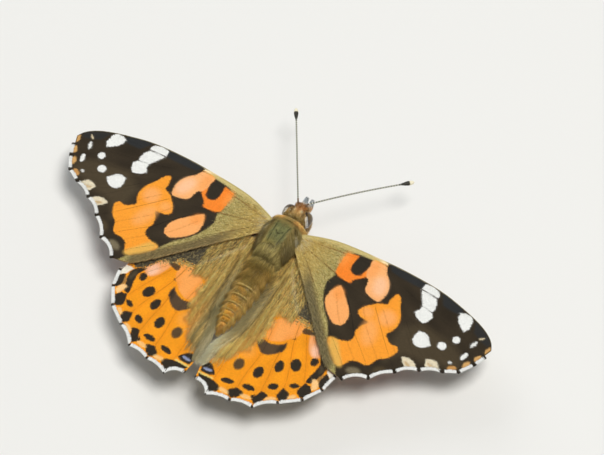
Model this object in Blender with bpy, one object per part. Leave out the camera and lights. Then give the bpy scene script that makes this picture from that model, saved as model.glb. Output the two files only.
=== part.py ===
# Painted lady butterfly, Vanessa cardui, at life size, standing with its wings spread flat.
# Frame: +Z up, head towards -Y, the insect's left side at +X; the floor is Z = 0, and the origin is
# on the floor under the middle of the insect's bounding box.
# Lengths below are millimetres in the insect's own terms: out = away from the mid plane,
# ahead = forward of the line that joins the wing roots, up = above the level of the wing roots.

import bpy
import bmesh
import numpy as np
from math import cos, sin, tau, radians
from mathutils import Vector
from mathutils.geometry import delaunay_2d_cdt

MM = 0.001                        # millimetres to metres
WING_ROOT_HEIGHT = 7.5            # wing roots above the floor
WING_ROOT_Y = -4.09               # wing-root line, from the middle of the bounding box
GAP = 0.3                         # clear space between neighbouring pieces
SIDES = {"left": 1, "right": -1}

WING_THICK = 0.5
FOREWING_RISE = 0.1               # middle of the forewing plate at the mid plane
HINDWING_RISE = -0.72             # hindwings pass under the forewings
DROOP = 0.034                     # fall of the wings for each millimetre outwards
FOREWING_TURN = radians(-0.84)    # the pair of forewings is turned a little about the wing-root line
HINDWING_TURN = radians(0.62)     # and the pair of hindwings the other way
GRID = 2.6                        # spacing of the points inside a wing's outline

FOREWING_COSTA = [(3.1, 1.1), (6.6, 2.25), (11.0, 2.8), (16.3, 3.1), (21.5, 2.95), (25.3, 2.25),
                  (28.5, 1.3), (30.5, 0.1), (31.45, -1.4)]
FOREWING_VEIN_ENDS = [(31.3, -2.35), (30.6, -4.1), (29.4, -6.1), (27.55, -7.15), (25.0, -8.5),
                      (22.55, -10.27), (20.2, -12.8), (17.4, -14.65)]
FOREWING_BAYS = [0.0, 0.0, 0.05, 0.3, 0.38, 0.35, 0.5]      # depth of the scallop between vein ends
FOREWING_REAR = [(16.0, -14.45), (13.5, -13.0), (8.0, -7.3), (3.1, -2.3)]

HINDWING_COSTA = [(3.1, -2.0), (6.0, -3.0), (10.0, -6.3), (13.6, -10.6), (15.6, -13.4)]
HINDWING_VEIN_ENDS = [(16.1, -14.7), (15.6, -17.25), (14.1, -19.8), (11.65, -21.67), (9.1, -23.85),
                      (6.1, -24.4), (3.0, -25.2), (0.75, -23.9)]
HINDWING_BAYS = [0.0, 0.0, 0.0, 0.3, 0.27, 0.3, 0.5]
HINDWING_INNER = [(0.45, -22.4), (0.35, -18.4), (0.7, -16.8), (1.55, -14.2), (2.0, -11.5), (2.05, -8.5),
                  (2.1, -6.3), (2.8, -5.0)]
FOLD_DROP = 0.9                   # the hindwing's inner edge folds down beside the abdomen
FOLD_OUT = (2.0, 4.4)             # the fold runs between these, deepest at the inner one
FOLD_AHEAD = (-19.5, -15.0)       # and fades out between these towards the rear

# Body stations: ahead, half width, top, bottom; the outlines take in the fur
HEAD = [(4.75, 0.5, -0.6, -1.5), (4.5, 1.0, -0.1, -1.95), (4.0, 1.4, 0.2, -2.2),
        (3.3, 1.55, 0.3, -2.25), (2.8, 1.45, 0.15, -2.1), (2.25, 1.0, -0.2, -1.75)]
THORAX = [(1.95, 1.6, 0.25, -2.1), (1.65, 2.15, 0.75, -2.7), (1.1, 2.6, 1.3, -3.2), (-0.2, 2.75, 1.75, -3.5),
          (-1.8, 2.7, 2.0, -3.6), (-3.2, 2.5, 1.85, -3.5), (-4.3, 2.15, 1.4, -3.2), (-5.1, 1.5, 0.75, -2.5)]
ABDOMEN_AHEAD = (-5.4, -16.5)     # front and tip
ABDOMEN_WIDTH = [(0.0, 1.35), (0.12, 1.65), (0.35, 1.8), (0.6, 1.55), (0.8, 1.05), (0.93, 0.6), (1.0, 0.3)]
ABDOMEN_AXIS = [(0.0, -0.85), (0.35, -0.85), (0.75, -1.05), (1.0, -1.3)]
ABDOMEN_SEGMENTS = 7
SEGMENT_STEP = 0.09               # each ring stands this much over the next one behind

EYE_CENTRE = (1.24, 3.25, -1.05)
EYE_RADII = (0.8, 0.98, 1.08)
PALP = [((0.5, 4.85, -2.0), 0.3), ((0.5, 5.3, -2.0), 0.36), ((0.46, 5.8, -1.85), 0.33),
        ((0.42, 6.25, -1.5), 0.24)]       # each centre line point with its radius
PROBOSCIS_CENTRE = (4.15, -3.5)   # ahead, up; the tongue is rolled up in the mid plane
PROBOSCIS_COIL_RADIUS = 0.62
PROBOSCIS_THICK = 0.52

ANTENNA_BASE = (0.72, 4.6, 0.45)
ANTENNA_TIPS = {"left": (8.35, 16.9, -0.4), "right": (10.45, 15.25, -1.25)}
ANTENNA_BOW = 0.35                # the shaft bows up this much half way along
ANTENNA_THICK = 0.5
CLUB_THICK = 0.9
CLUB_START = 0.89                 # share of the length

# Legs: centre line points from the body to the last foot segment, each with its radius
FORELEG = [((0.95, 1.5, -4.05), 0.3), ((1.2, 2.5, -4.0), 0.36), ((1.35, 3.4, -3.75), 0.34),
           ((1.25, 4.3, -3.3), 0.27)]
MIDLEG = [((1.15, -0.7, -4.3), 0.38), ((2.1, -0.4, -4.5), 0.36), ((3.9, 0.3, -3.5), 0.33),
          ((5.6, 0.9, -2.85), 0.28), ((6.1, 1.15, -3.25), 0.27), ((7.3, 1.9, -5.1), 0.26),
          ((8.4, 2.6, -6.7), 0.26), ((9.0, 2.95, -7.15), 0.26), ((10.2, 3.55, -7.27), 0.27),
          ((11.5, 4.1, -7.27), 0.26)]
HINDLEG = [((1.15, -3.3, -4.3), 0.38), ((2.1, -3.8, -4.5), 0.36), ((3.8, -5.2, -3.6), 0.33),
           ((5.4, -6.6, -3.1), 0.28), ((5.8, -7.1, -3.5), 0.27), ((6.5, -8.6, -5.1), 0.26),
           ((7.1, -10.0, -6.7), 0.26), ((7.5, -10.7, -7.15), 0.26), ((8.0, -11.9, -7.27), 0.27),
           ((8.5, -13.2, -7.27), 0.26)]


def place(out, ahead, up, side=1):
    """A point of the insect, in metres, in the world."""
    return Vector((side * out, WING_ROOT_Y - ahead, WING_ROOT_HEIGHT + up)) * MM


def clear_scene():
    for leftover in list(bpy.data.objects):
        bpy.data.objects.remove(leftover, do_unlink=True)


def material(name, colour, roughness):
    finish = bpy.data.materials.new(name)
    finish.use_nodes = True
    shader = finish.node_tree.nodes["Principled BSDF"]
    shader.inputs["Base Color"].default_value = (*colour, 1.0)
    shader.inputs["Roughness"].default_value = roughness
    shader.inputs["Metallic"].default_value = 0.0
    return finish


def add_piece(name, bm, finish):
    """Turn a bmesh in world metres into a smooth-shaded object."""
    bmesh.ops.recalc_face_normals(bm, faces=bm.faces)
    mesh = bpy.data.meshes.new(name)
    bm.to_mesh(mesh)
    bm.free()
    mesh.shade_smooth()
    mesh.set_sharp_from_angle(angle=radians(50))
    mesh.materials.append(finish)
    piece = bpy.data.objects.new(name, mesh)
    bpy.context.scene.collection.objects.link(piece)
    return piece


def smooth_through(points, steps):
    """A smooth curve through the points, with so many steps between neighbours."""
    points = [np.array(p, float) for p in points]
    line = [2 * points[0] - points[1]] + points + [2 * points[-1] - points[-2]]
    curve = []
    for before, start, end, after in zip(line, line[1:], line[2:], line[3:]):
        for t in np.arange(steps) / steps:
            curve.append(0.5 * (2 * start + (end - before) * t
                                + (2 * before - 5 * start + 4 * end - after) * t ** 2
                                + (3 * start - before - 3 * end + after) * t ** 3))
    return curve + [points[-1]]


def scalloped(vein_ends, bays, steps):
    """The outer margin: a shallow bay between each vein end and the next."""
    margin = []
    for start, end, depth in zip(vein_ends, vein_ends[1:], bays):
        start, end = np.array(start), np.array(end)
        along = (end - start) / np.linalg.norm(end - start)
        inward = np.array((along[1], -along[0]))
        for t in np.arange(steps) / steps:
            margin.append(start + (end - start) * t + inward * depth * 4 * t * (1 - t))
    return margin + [np.array(vein_ends[-1])]


def forewing_outline():
    outline = smooth_through(FOREWING_COSTA, 3) + scalloped(FOREWING_VEIN_ENDS, FOREWING_BAYS, 4)
    return outline + smooth_through(FOREWING_REAR, 3)


def hindwing_outline():
    outline = smooth_through(HINDWING_COSTA, 2) + scalloped(HINDWING_VEIN_ENDS, HINDWING_BAYS, 4)
    return outline + smooth_through(HINDWING_INNER, 2)


def fade(value, low, high):
    """0 below low, 1 above high, smooth between them."""
    t = min(max((value - low) / (high - low), 0.0), 1.0)
    return t * t * (3 - 2 * t)


def forewing_level(out, ahead):
    return FOREWING_RISE - DROOP * out


def hindwing_level(out, ahead):
    fold = (1 - fade(out, *FOLD_OUT)) * fade(ahead, *FOLD_AHEAD)
    return HINDWING_RISE - DROOP * out - FOLD_DROP * fold


def inside(outline, out, ahead):
    """Whether a point lies within a closed outline."""
    crossings = 0
    for (x0, y0), (x1, y1) in zip(outline, outline[1:] + outline[:1]):
        if (y0 > ahead) != (y1 > ahead) and out < x0 + (ahead - y0) * (x1 - x0) / (y1 - y0):
            crossings += 1
    return crossings % 2 == 1


def inner_grid(outline):
    """Points in staggered rows inside the outline, clear of its edge."""
    edge = np.array(outline)
    low, high = edge.min(axis=0), edge.max(axis=0)
    rows = np.arange(low[1], high[1], GRID * 0.866)
    grid = []
    for row, ahead in enumerate(rows):
        for out in np.arange(low[0] + GRID / 2 * (row % 2), high[0], GRID):
            clear = np.hypot(*(edge - (out, ahead)).T).min() > GRID * 0.5
            if clear and inside(outline, out, ahead):
                grid.append((out, ahead))
    return grid


def add_wing(name, outline, level, side, turn, finish):
    """A thin plate of even thickness that follows the wing's level."""
    flat = [Vector((float(p[0]), float(p[1]))) for p in outline]
    rim = len(flat)
    flat += [Vector(p) for p in inner_grid([tuple(p) for p in outline])]
    rim_edges = [(i, (i + 1) % rim) for i in range(rim)]
    points, _, faces, _, _, _ = delaunay_2d_cdt(flat, rim_edges, [], 1, 1e-6)
    bm = bmesh.new()
    sheets = []
    for rise in (WING_THICK / 2, -WING_THICK / 2):
        sheet = []
        for point in points:
            out, ahead = point
            across = side * out * cos(turn) + ahead * sin(turn)
            along = ahead * cos(turn) - side * out * sin(turn)
            sheet.append(bm.verts.new(place(across, along, level(out, ahead) + rise)))
        sheets.append(sheet)
    for face in faces:
        for sheet in sheets:
            bm.faces.new([sheet[i] for i in face])
    top, bottom = sheets
    for i, j in rim_edges:
        bm.faces.new((top[i], top[j], bottom[j], bottom[i]))
    return add_piece(name, bm, finish)


def add_loft(name, rings, finish):
    """A closed solid over a row of equal rings of points, with flat ends."""
    bm = bmesh.new()
    loops = [[bm.verts.new(point) for point in ring] for ring in rings]
    count = len(loops[0])
    for near, far in zip(loops, loops[1:]):
        for i in range(count):
            j = (i + 1) % count
            bm.faces.new((near[i], near[j], far[j], far[i]))
    bm.faces.new(loops[0])
    bm.faces.new(loops[-1])
    return add_piece(name, bm, finish)


def body_ring(ahead, half_width, top, bottom, sides):
    """An oval cross-section of the body, at right angles to its length."""
    middle, half_height = (top + bottom) / 2, (top - bottom) / 2
    ring = []
    for i in range(sides):
        angle = tau * i / sides
        ring.append(place(half_width * cos(angle), ahead, middle + half_height * sin(angle)))
    return ring


def add_body(name, stations, steps, sides, finish):
    rings = [body_ring(*station, sides) for station in smooth_through(stations, steps)]
    return add_loft(name, rings, finish)


def add_abdomen(finish):
    """Seven overlapping rings that narrow towards the tip."""
    front, tip = ABDOMEN_AHEAD
    steps_per_segment = 4
    rings = []
    for step in range(ABDOMEN_SEGMENTS * steps_per_segment + 1):
        share = step / (ABDOMEN_SEGMENTS * steps_per_segment)
        width = np.interp(share, *zip(*ABDOMEN_WIDTH))
        middle = np.interp(share, *zip(*ABDOMEN_AXIS))
        in_segment = (share * ABDOMEN_SEGMENTS) % 1.0
        radius = width - SEGMENT_STEP * (1 - in_segment) * (0 < share < 1)
        ahead = front + (tip - front) * share
        rings.append(body_ring(ahead, radius, middle + radius * 0.95, middle - radius * 0.95, 18))
    return add_loft("abdomen", rings, finish)


def add_tube(name, points, sides, finish):
    """A round limb along (world point, radius) pairs; what would dip under the floor is cut flat on it."""
    centres = [p for p, _ in points]
    rings = []
    for i, (centre, radius) in enumerate(points):
        ahead = centres[min(i + 1, len(centres) - 1)] - centres[max(i - 1, 0)]
        ahead.normalize()
        across = ahead.cross(Vector((0, 0, 1))).normalized()
        over = across.cross(ahead).normalized()
        ring = []
        for k in range(sides):
            angle = tau * (k + 0.5) / sides
            point = centre + (across * cos(angle) + over * sin(angle)) * radius * MM
            point.z = max(point.z, 0.0)
            ring.append(point)
        rings.append(ring)
    return add_loft(name, rings, finish)


def add_limb(name, points, side, sides, steps, finish):
    rounded = smooth_through([(*centre, radius) for centre, radius in points], steps)
    return add_tube(name, [(place(*p[:3], side), p[3]) for p in rounded], sides, finish)


def add_antenna(name, side, tip, finish):
    """A thin shaft that swells into a club."""
    start, end = np.array(ANTENNA_BASE), np.array(tip)
    shares = list(np.linspace(0, CLUB_START - 0.04, 8)) + list(np.linspace(CLUB_START, 1, 6))
    points = []
    for share in shares:
        centre = start + (end - start) * share
        centre[2] += ANTENNA_BOW * 4 * share * (1 - share)
        swell = fade(share, CLUB_START - 0.04, CLUB_START + 0.05) - 0.8 * fade(share, 0.96, 1.0)
        thick = ANTENNA_THICK + (CLUB_THICK - ANTENNA_THICK) * swell
        points.append((place(*centre, side), thick / 2))
    return add_tube(name, points, 8, finish)


def add_eye(name, side, spare, finish):
    """An oval ball, larger all round by the spare."""
    bm = bmesh.new()
    bmesh.ops.create_uvsphere(bm, u_segments=16, v_segments=10, radius=1.0)
    for vert in bm.verts:
        swollen = Vector([c * (r + spare) * MM for c, r in zip(vert.co, EYE_RADII)])
        vert.co = swollen + place(*EYE_CENTRE, side)
    return add_piece(name, bm, finish)


def cut_eye_sockets(head):
    """Hollows in the head, a gap wider than the eyes."""
    for name, side in SIDES.items():
        cutter = add_eye("socket_" + name, side, GAP, head.data.materials[0])
        cutter.hide_render = True
        cutter.display_type = "WIRE"
        cut = head.modifiers.new("socket_" + name, "BOOLEAN")
        cut.operation = "DIFFERENCE"
        cut.solver = "EXACT"
        cut.object = cutter


def add_proboscis(finish):
    """The tongue, rolled up like a watch spring: one closed ring."""
    ahead, up = PROBOSCIS_CENTRE
    around, thickness_sides = 16, 8
    bm = bmesh.new()
    loops = []
    for i in range(around):
        turn = tau * i / around
        loop = []
        for k in range(thickness_sides):
            angle = tau * k / thickness_sides
            radius = PROBOSCIS_COIL_RADIUS + PROBOSCIS_THICK / 2 * cos(angle)
            across = PROBOSCIS_THICK / 2 * sin(angle)
            point = place(across, ahead + radius * cos(turn), up + radius * sin(turn))
            loop.append(bm.verts.new(point))
        loops.append(loop)
    for near, far in zip(loops, loops[1:] + loops[:1]):
        for k in range(thickness_sides):
            j = (k + 1) % thickness_sides
            bm.faces.new((near[k], near[j], far[j], far[k]))
    return add_piece("proboscis", bm, finish)


def build():
    clear_scene()
    fur = material("olive_brown_fur", (0.30, 0.22, 0.10), 0.8)
    rings = material("banded_orange_brown", (0.42, 0.22, 0.07), 0.75)
    eye = material("eye_brown", (0.06, 0.04, 0.02), 0.2)
    feeler = material("feeler_black", (0.04, 0.035, 0.03), 0.5)
    limb = material("limb_tan", (0.45, 0.36, 0.24), 0.6)
    orange = material("wing_orange", (0.85, 0.35, 0.06), 0.6)
    amber = material("wing_amber", (0.80, 0.32, 0.04), 0.6)

    head = add_body("head", HEAD, 2, 18, fur)
    cut_eye_sockets(head)
    add_body("thorax", THORAX, 2, 20, fur)
    add_abdomen(rings)
    add_proboscis(limb)
    for name, side in SIDES.items():
        add_eye("eye_" + name, side, 0.0, eye)
        add_limb("palp_" + name, PALP, side, 8, 2, fur)
        add_antenna("antenna_" + name, side, ANTENNA_TIPS[name], feeler)
        add_wing("forewing_" + name, forewing_outline(), forewing_level, side, FOREWING_TURN, orange)
        add_wing("hindwing_" + name, hindwing_outline(), hindwing_level, side, HINDWING_TURN, amber)
        add_limb("foreleg_" + name, FORELEG, side, 8, 2, limb)
        add_limb("midleg_" + name, MIDLEG, side, 8, 2, limb)
        add_limb("hindleg_" + name, HINDLEG, side, 8, 2, limb)


build()
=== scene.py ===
# Painted lady butterfly at life size, standing with its wings spread flat.
# Lengths are millimetres in the insect's own terms: out from the mid plane, ahead of the wing roots and
# up from their level. place() turns them into the frame's metres. Colours are written as seen, in sRGB.

from math import cos, sin, tau, radians, pi

import bpy
import numpy as np
from mathutils import Matrix, Vector
from mathutils.bvhtree import BVHTree
from mathutils.geometry import delaunay_2d_cdt


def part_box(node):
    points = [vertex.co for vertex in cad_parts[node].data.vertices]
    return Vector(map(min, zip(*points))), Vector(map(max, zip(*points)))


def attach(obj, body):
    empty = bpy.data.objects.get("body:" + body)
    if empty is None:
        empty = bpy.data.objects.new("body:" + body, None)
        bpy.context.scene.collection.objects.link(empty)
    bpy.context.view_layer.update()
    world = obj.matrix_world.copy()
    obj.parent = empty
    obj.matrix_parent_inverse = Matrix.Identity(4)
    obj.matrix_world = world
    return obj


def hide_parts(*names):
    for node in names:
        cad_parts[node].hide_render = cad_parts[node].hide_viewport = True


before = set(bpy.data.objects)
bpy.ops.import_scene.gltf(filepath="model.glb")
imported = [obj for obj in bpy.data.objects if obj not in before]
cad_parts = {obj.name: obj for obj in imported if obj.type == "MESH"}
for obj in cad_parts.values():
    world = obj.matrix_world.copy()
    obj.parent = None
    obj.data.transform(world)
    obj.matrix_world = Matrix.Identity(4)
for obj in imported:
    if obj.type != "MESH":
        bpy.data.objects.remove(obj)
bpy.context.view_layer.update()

# ------------------------------------------------------------
# Body skin. Head, thorax and abdomen are one shell of thin chitin plates, soft at the neck and waist.
# Here it is one closed skin, measured from the solids along spokes and sunk under them by the depth of
# the fur. The middle of the thorax is nearly bald: a grey-green plate with fine seams.

MM = 0.001
WING_ROOTS_Y = -4.09              # the line that joins the wing roots
WING_ROOTS_Z = 7.5
SIDES = {"left": 1, "right": -1}

SKIN_FRONT, SKIN_TIP = 4.72, -16.46
SKIN_STEP = 0.1                   # between the rings of the skin
SKIN_SPOKES = 72
SKIN_SHADE = 0.8                  # bare skin is darker than the fur over it
AXIS = [(-16.5, -1.3), (-13.7, -1.05), (-9.3, -0.85), (-4.8, -0.85), (2.5, -0.97), (4.75, -1.05)]
NECK, WAIST = 2.1, -5.25          # where the skin draws in between the solids
FUR_DEPTH = [(-16.5, 0.1), (-12.0, 0.16), (-6.0, 0.3), (-4.6, 0.45), (-2.0, 0.42), (1.0, 0.4),
             (2.4, 0.2), (3.2, 0.12), (4.75, 0.1)]
# Where each segment of the abdomen ends.
SEGMENT_ENDS = (-4.8, -6.4, -8.15, -9.78, -11.18, -12.36, -13.36, -14.2, -14.95, -16.6)
EYE_SEAT = 0.42                   # how deep the skin runs inside the eyeball
EYE_FACING = (0.71, 0.7, 0.0)     # out, ahead, up: where an eye looks
EYE_OPENING = 0.04                # cosine of the angle that the bare eye spans about that
EYE_GRAZE = -0.3                  # below zero, so that spokes that just miss the eyeball are covered too
ORBIT_COVER = 0.09                # the skin behind the eye's rim stands this much over the eyeball
CRESCENT_TURN = 1.2               # the middle of the white crescent, turned back from the eye's top
CRESCENT_DEPTH = 0.27             # how far the crescent spreads behind the bare eye

SCUTUM = dict(front=0.7, rear=-4.3, half=1.35)
SCUTUM_GREEN = (120, 120, 76)
SCUTELLUM_OLIVE = (146, 132, 74)
SCUTUM_SEAM = (46, 44, 28)
SLIT_SHADOW = (34, 28, 18)
THORAX_BROWN = (112, 100, 58)
COLLAR_TAN = (194, 142, 82)
ABDOMEN_BROWN = (122, 102, 50)
ABDOMEN_ORANGE = (182, 130, 48)
ABDOMEN_RING = (236, 190, 118)
FLANK_GOLD = (158, 128, 66)
BELLY_CREAM = (196, 172, 126)
HEAD_PALE = (216, 190, 146)
CROWN_RUST, CHEEK_TAN, NAPE_BROWN = (134, 86, 38), (136, 108, 62), (118, 100, 58)
EYE_GAP_SHADOW = (58, 44, 28)


def place(at, side=1):
    """Insect terms (out, ahead, up) in millimetres to the frame's metres."""
    at = np.asarray(at, float)
    return np.stack([side * at[..., 0], WING_ROOTS_Y - at[..., 1], WING_ROOTS_Z + at[..., 2]], -1) * MM


def seen(*rgb):
    """A colour as seen, 0 to 255, in the linear values that the shader works in."""
    rgb = np.asarray(rgb if len(rgb) > 1 else rgb[0], float) / 255
    return np.where(rgb < 0.04, rgb / 12.92, ((rgb + 0.055) / 1.055) ** 2.4)


def fade(value, low, high):
    """0 below low, 1 above high, smooth between them."""
    t = np.clip((np.asarray(value, float) - low) / (high - low), 0, 1)
    return t * t * (3 - 2 * t)


def mixed(colours, others, share):
    """Colours with a share, from 0 to 1, of the others in them."""
    share = share[:, None] if np.ndim(share) == 1 else share
    return colours * (1 - share) + others * share


def laid(colours, tone, share):
    """Colours with a tone as seen laid over them, as far as the share says."""
    return mixed(colours, seen(tone), share)


def unit(vectors):
    return vectors / np.maximum(np.linalg.norm(vectors, axis=-1, keepdims=True), 1e-12)


def mottle(at, size, seed):
    """Soft random blotches about -1 to 1 over the places, of the given size in millimetres."""
    draw = np.random.default_rng(seed)
    total = np.zeros(len(at))
    for _ in range(5):
        wave = draw.normal(size=at.shape[1]) * 1.6 / size
        total += np.sin(at @ wave + draw.uniform(0, tau))
    return total / 2.2


def make_piece(name, points, triangles, colours, spots, finish):
    """One mesh object from corners in metres, triangles, a colour a corner and an unwrap place a corner."""
    a, b, c = (points[triangles[:, k]] for k in range(3))
    if np.einsum("ij,ij->i", a - points[0], np.cross(b - points[0], c - points[0])).sum() < 0:
        triangles = triangles[:, ::-1]
        spots = spots[:, ::-1] if spots.ndim == 3 else spots
    mesh = bpy.data.meshes.new(name)
    mesh.vertices.add(len(points))
    mesh.vertices.foreach_set("co", points.astype(np.float32).ravel())
    mesh.loops.add(triangles.size)
    mesh.loops.foreach_set("vertex_index", triangles.astype(np.int32).ravel())
    mesh.polygons.add(len(triangles))
    mesh.polygons.foreach_set("loop_start", np.arange(0, triangles.size, 3, dtype=np.int32))
    mesh.update(calc_edges=True)
    rgba = np.concatenate([np.clip(colours, 0, 1), np.ones((len(colours), 1))], 1)
    paint = mesh.color_attributes.new("Markings", "FLOAT_COLOR", "POINT")
    paint.data.foreach_set("color", rgba.astype(np.float32).ravel())
    corner_spots = spots if spots.ndim == 3 else spots[triangles]
    unwrap = mesh.uv_layers.new(name="OFBake")
    unwrap.uv.foreach_set("vector", corner_spots.astype(np.float32).ravel())
    mesh.materials.append(finish)
    piece = bpy.data.objects.new(name, mesh)
    bpy.context.scene.collection.objects.link(piece)
    return piece


def new_finish(name):
    """A material, its shader, and its nodes and links."""
    finish = bpy.data.materials.new(name)
    finish.use_nodes = True
    nodes, links = finish.node_tree.nodes, finish.node_tree.links
    return finish, nodes["Principled BSDF"], nodes, links


def set_sockets(node, values):
    for socket, value in values.items():
        node.inputs[socket].default_value = value


def marked_finish(name, roughness, grain, bump, sheen=0.0, gloss=0.0, shine=0.3):
    """A finish that shows the markings, a little uneven, with fine grain of the size in millimetres."""
    finish, shader, nodes, links = new_finish(name)
    set_sockets(shader, {"Sheen Weight": sheen, "Sheen Roughness": 0.4, "Coat Weight": gloss,
                         "Coat Roughness": 0.25, "Specular IOR Level": shine})
    markings = nodes.new("ShaderNodeAttribute")
    markings.attribute_name = "Markings"
    place_node = nodes.new("ShaderNodeTexCoord")
    noise = nodes.new("ShaderNodeTexNoise")
    set_sockets(noise, {"Scale": 1 / (grain * MM), "Detail": 3.0})
    links.new(place_node.outputs["Object"], noise.inputs["Vector"])
    shade = nodes.new("ShaderNodeMapRange")
    set_sockets(shade, {"To Min": 0.8, "To Max": 1.16})
    links.new(noise.outputs["Fac"], shade.inputs["Value"])
    tint = nodes.new("ShaderNodeVectorMath")
    tint.operation = "SCALE"
    links.new(markings.outputs["Color"], tint.inputs[0])
    links.new(shade.outputs["Result"], tint.inputs["Scale"])
    links.new(tint.outputs["Vector"], shader.inputs["Base Color"])
    rough = nodes.new("ShaderNodeMapRange")
    set_sockets(rough, {"To Min": roughness - 0.08, "To Max": roughness + 0.08})
    links.new(noise.outputs["Fac"], rough.inputs["Value"])
    links.new(rough.outputs["Result"], shader.inputs["Roughness"])
    relief = nodes.new("ShaderNodeBump")
    set_sockets(relief, {"Strength": bump, "Distance": grain * MM * 0.5})
    links.new(noise.outputs["Fac"], relief.inputs["Height"])
    links.new(relief.outputs["Normal"], shader.inputs["Normal"])
    return finish


def solids_of(*nodes):
    """The named solids in millimetres, ready to be met by spokes."""
    corners, faces = [], []
    for node in nodes:
        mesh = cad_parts[node].data
        start = len(corners)
        corners += [vert.co / MM for vert in mesh.vertices]
        faces += [[start + i for i in face.vertices] for face in mesh.polygons]
    return BVHTree.FromPolygons(corners, faces)


def spoke_lengths(solid, rings, spokes):
    """How far each spoke runs from the body's axis to the solid; nan where it meets nothing."""
    lengths = np.full((len(rings), len(spokes)), np.nan)
    for i, ahead in enumerate(rings):
        start = Vector((0, WING_ROOTS_Y - ahead, WING_ROOTS_Z + np.interp(ahead, *zip(*AXIS))))
        for j, angle in enumerate(spokes):
            _, _, _, far = solid.ray_cast(start, Vector((cos(angle), 0, sin(angle))))
            lengths[i, j] = np.nan if far is None else far
    return lengths


def eye_from_frame(node):
    """Centre and radii of an eye, in insect terms, from the solid's box."""
    low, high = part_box(node)
    centre = (low + high) / 2 / MM
    radii = (high - low) / 2 / MM
    return dict(centre=np.array([centre.x, WING_ROOTS_Y - centre.y, centre.z - WING_ROOTS_Z]),
                radii=np.array(radii))


EYES = {name: eye_from_frame("eye_" + name) for name in SIDES}


def segment_share(ahead):
    """How far back a place lies in its segment of the abdomen, 0 to 1."""
    return np.interp(-ahead, -np.array(SEGMENT_ENDS), np.arange(len(SEGMENT_ENDS))) % 1.0


def eye_axes(name):
    """Where an eye looks, and the ways from that towards its top and its rear."""
    side = SIDES[name]
    facing = unit(np.array(EYE_FACING) * (side, 1, 1))
    above = unit(np.array((0, 0, 1.0)) - facing * facing[2])
    return facing, above, np.cross(facing, above) * side


def bareness(at, name):
    """Cosine between a place's direction from the middle of an eye and where that eye looks."""
    return unit((at - EYES[name]["centre"]) / EYES[name]["radii"]) @ eye_axes(name)[0]


def crescent(way, name):
    """1 for the ways from the middle of an eye that pass the white crescent behind its top."""
    facing, above, behind = eye_axes(name)
    circle = unit(way - facing * (way @ facing)[..., None])
    return fade(circle @ (above * cos(CRESCENT_TURN) + behind * sin(CRESCENT_TURN)), 0.35, 0.75)


def orbit_lengths(rings, spokes):
    """How far spokes run to the far side of an eyeball where the skin covers it; nan elsewhere."""
    lengths = np.full((len(rings), len(spokes)), np.nan)
    for name, eye in EYES.items():
        for i, ahead in enumerate(rings):
            start = np.array((0, ahead, np.interp(ahead, *zip(*AXIS))))
            way = np.stack([np.cos(spokes), np.zeros(len(spokes)), np.sin(spokes)], -1)
            reach = (start - eye["centre"]) / eye["radii"]
            step = way / eye["radii"]
            a, b = (step ** 2).sum(1), step @ reach
            inside = b * b - a * (reach @ reach - 1)
            far = (-b + np.sqrt(np.maximum(inside, 0))) / a
            covered = (inside > EYE_GRAZE) & (far > 0)
            covered &= bareness(start + way * far[:, None], name) < EYE_OPENING
            lengths[i, covered] = far[covered] + ORBIT_COVER
    return lengths


def skin_spokes(rings, spokes):
    """The skin's radius about the axis, by ring and spoke."""
    radius = spoke_lengths(solids_of("head", "thorax", "abdomen"), rings, spokes)
    for j in range(len(spokes)):
        known = ~np.isnan(radius[:, j])
        radius[:, j] = np.interp(-rings, -rings[known], radius[known, j])
    depth = np.interp(rings, *zip(*FUR_DEPTH))[:, None]
    bald = fade(rings, -4.6, -3.9) * (rings < 1.2)
    bald = bald[:, None] * fade(np.sin(spokes), 0.55, 0.85)[None, :]
    radius -= depth * (1 - 0.65 * bald)
    pinch = 0.2 * np.exp(-((rings - NECK) / 0.3) ** 2) + 0.14 * np.exp(-((rings - WAIST) / 0.45) ** 2)
    radius *= 1 - pinch[:, None]
    eyes = spoke_lengths(solids_of("eye_left", "eye_right"), rings, spokes)
    radius = np.fmax(radius, eyes + EYE_SEAT)
    radius = np.fmax(radius, orbit_lengths(rings, spokes))
    for _ in range(2):                # two rounds of smoothing, along the body and around it
        radius[1:-1] = radius[:-2] * 0.25 + radius[1:-1] * 0.5 + radius[2:] * 0.25
        radius = radius * 0.5 + (np.roll(radius, 1, 1) + np.roll(radius, -1, 1)) * 0.25
    ledge = 0.07 * fade(segment_share(rings), 0.2, 0.92) * fade(-rings, 5.4, 6.0)
    ledge *= fade(rings, SKIN_TIP, SKIN_TIP + 2)
    return radius + ledge[:, None]


def scutum_seams(out, ahead):
    """How dark the fine seams of the bald thorax plate are, 0 to 1, from the distance to the middle."""
    middle = np.exp(-(out / 0.05) ** 2) * fade(ahead, -3.0, -2.0) * 0.5
    notch = np.exp(-((ahead + 1.7 - 0.9 * out) / 0.09) ** 2) * (out < 0.55)
    side = np.exp(-((out - 0.92 - 0.08 * ahead) / 0.1) ** 2) * fade(ahead, -3.6, -2.6) * 0.7
    rear = np.exp(-((ahead + 3.35 + 0.35 * out) / 0.12) ** 2) * (out < 0.9)
    return np.clip(middle + notch + side + rear, 0, 1)


def shoulder_slit(at):
    """The gap between the collar and the flap over each forewing's root, 0 to 1, where the fur thins and its
    shadow is painted near black.
    """
    across = (np.abs(at[:, 0]) - 1.62 + 0.4 * at[:, 1]) / 0.2
    along = (at[:, 1] - 0.05) / 0.6
    return np.exp(-across ** 2 - along ** 4) * (at[:, 2] > -0.6)


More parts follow.
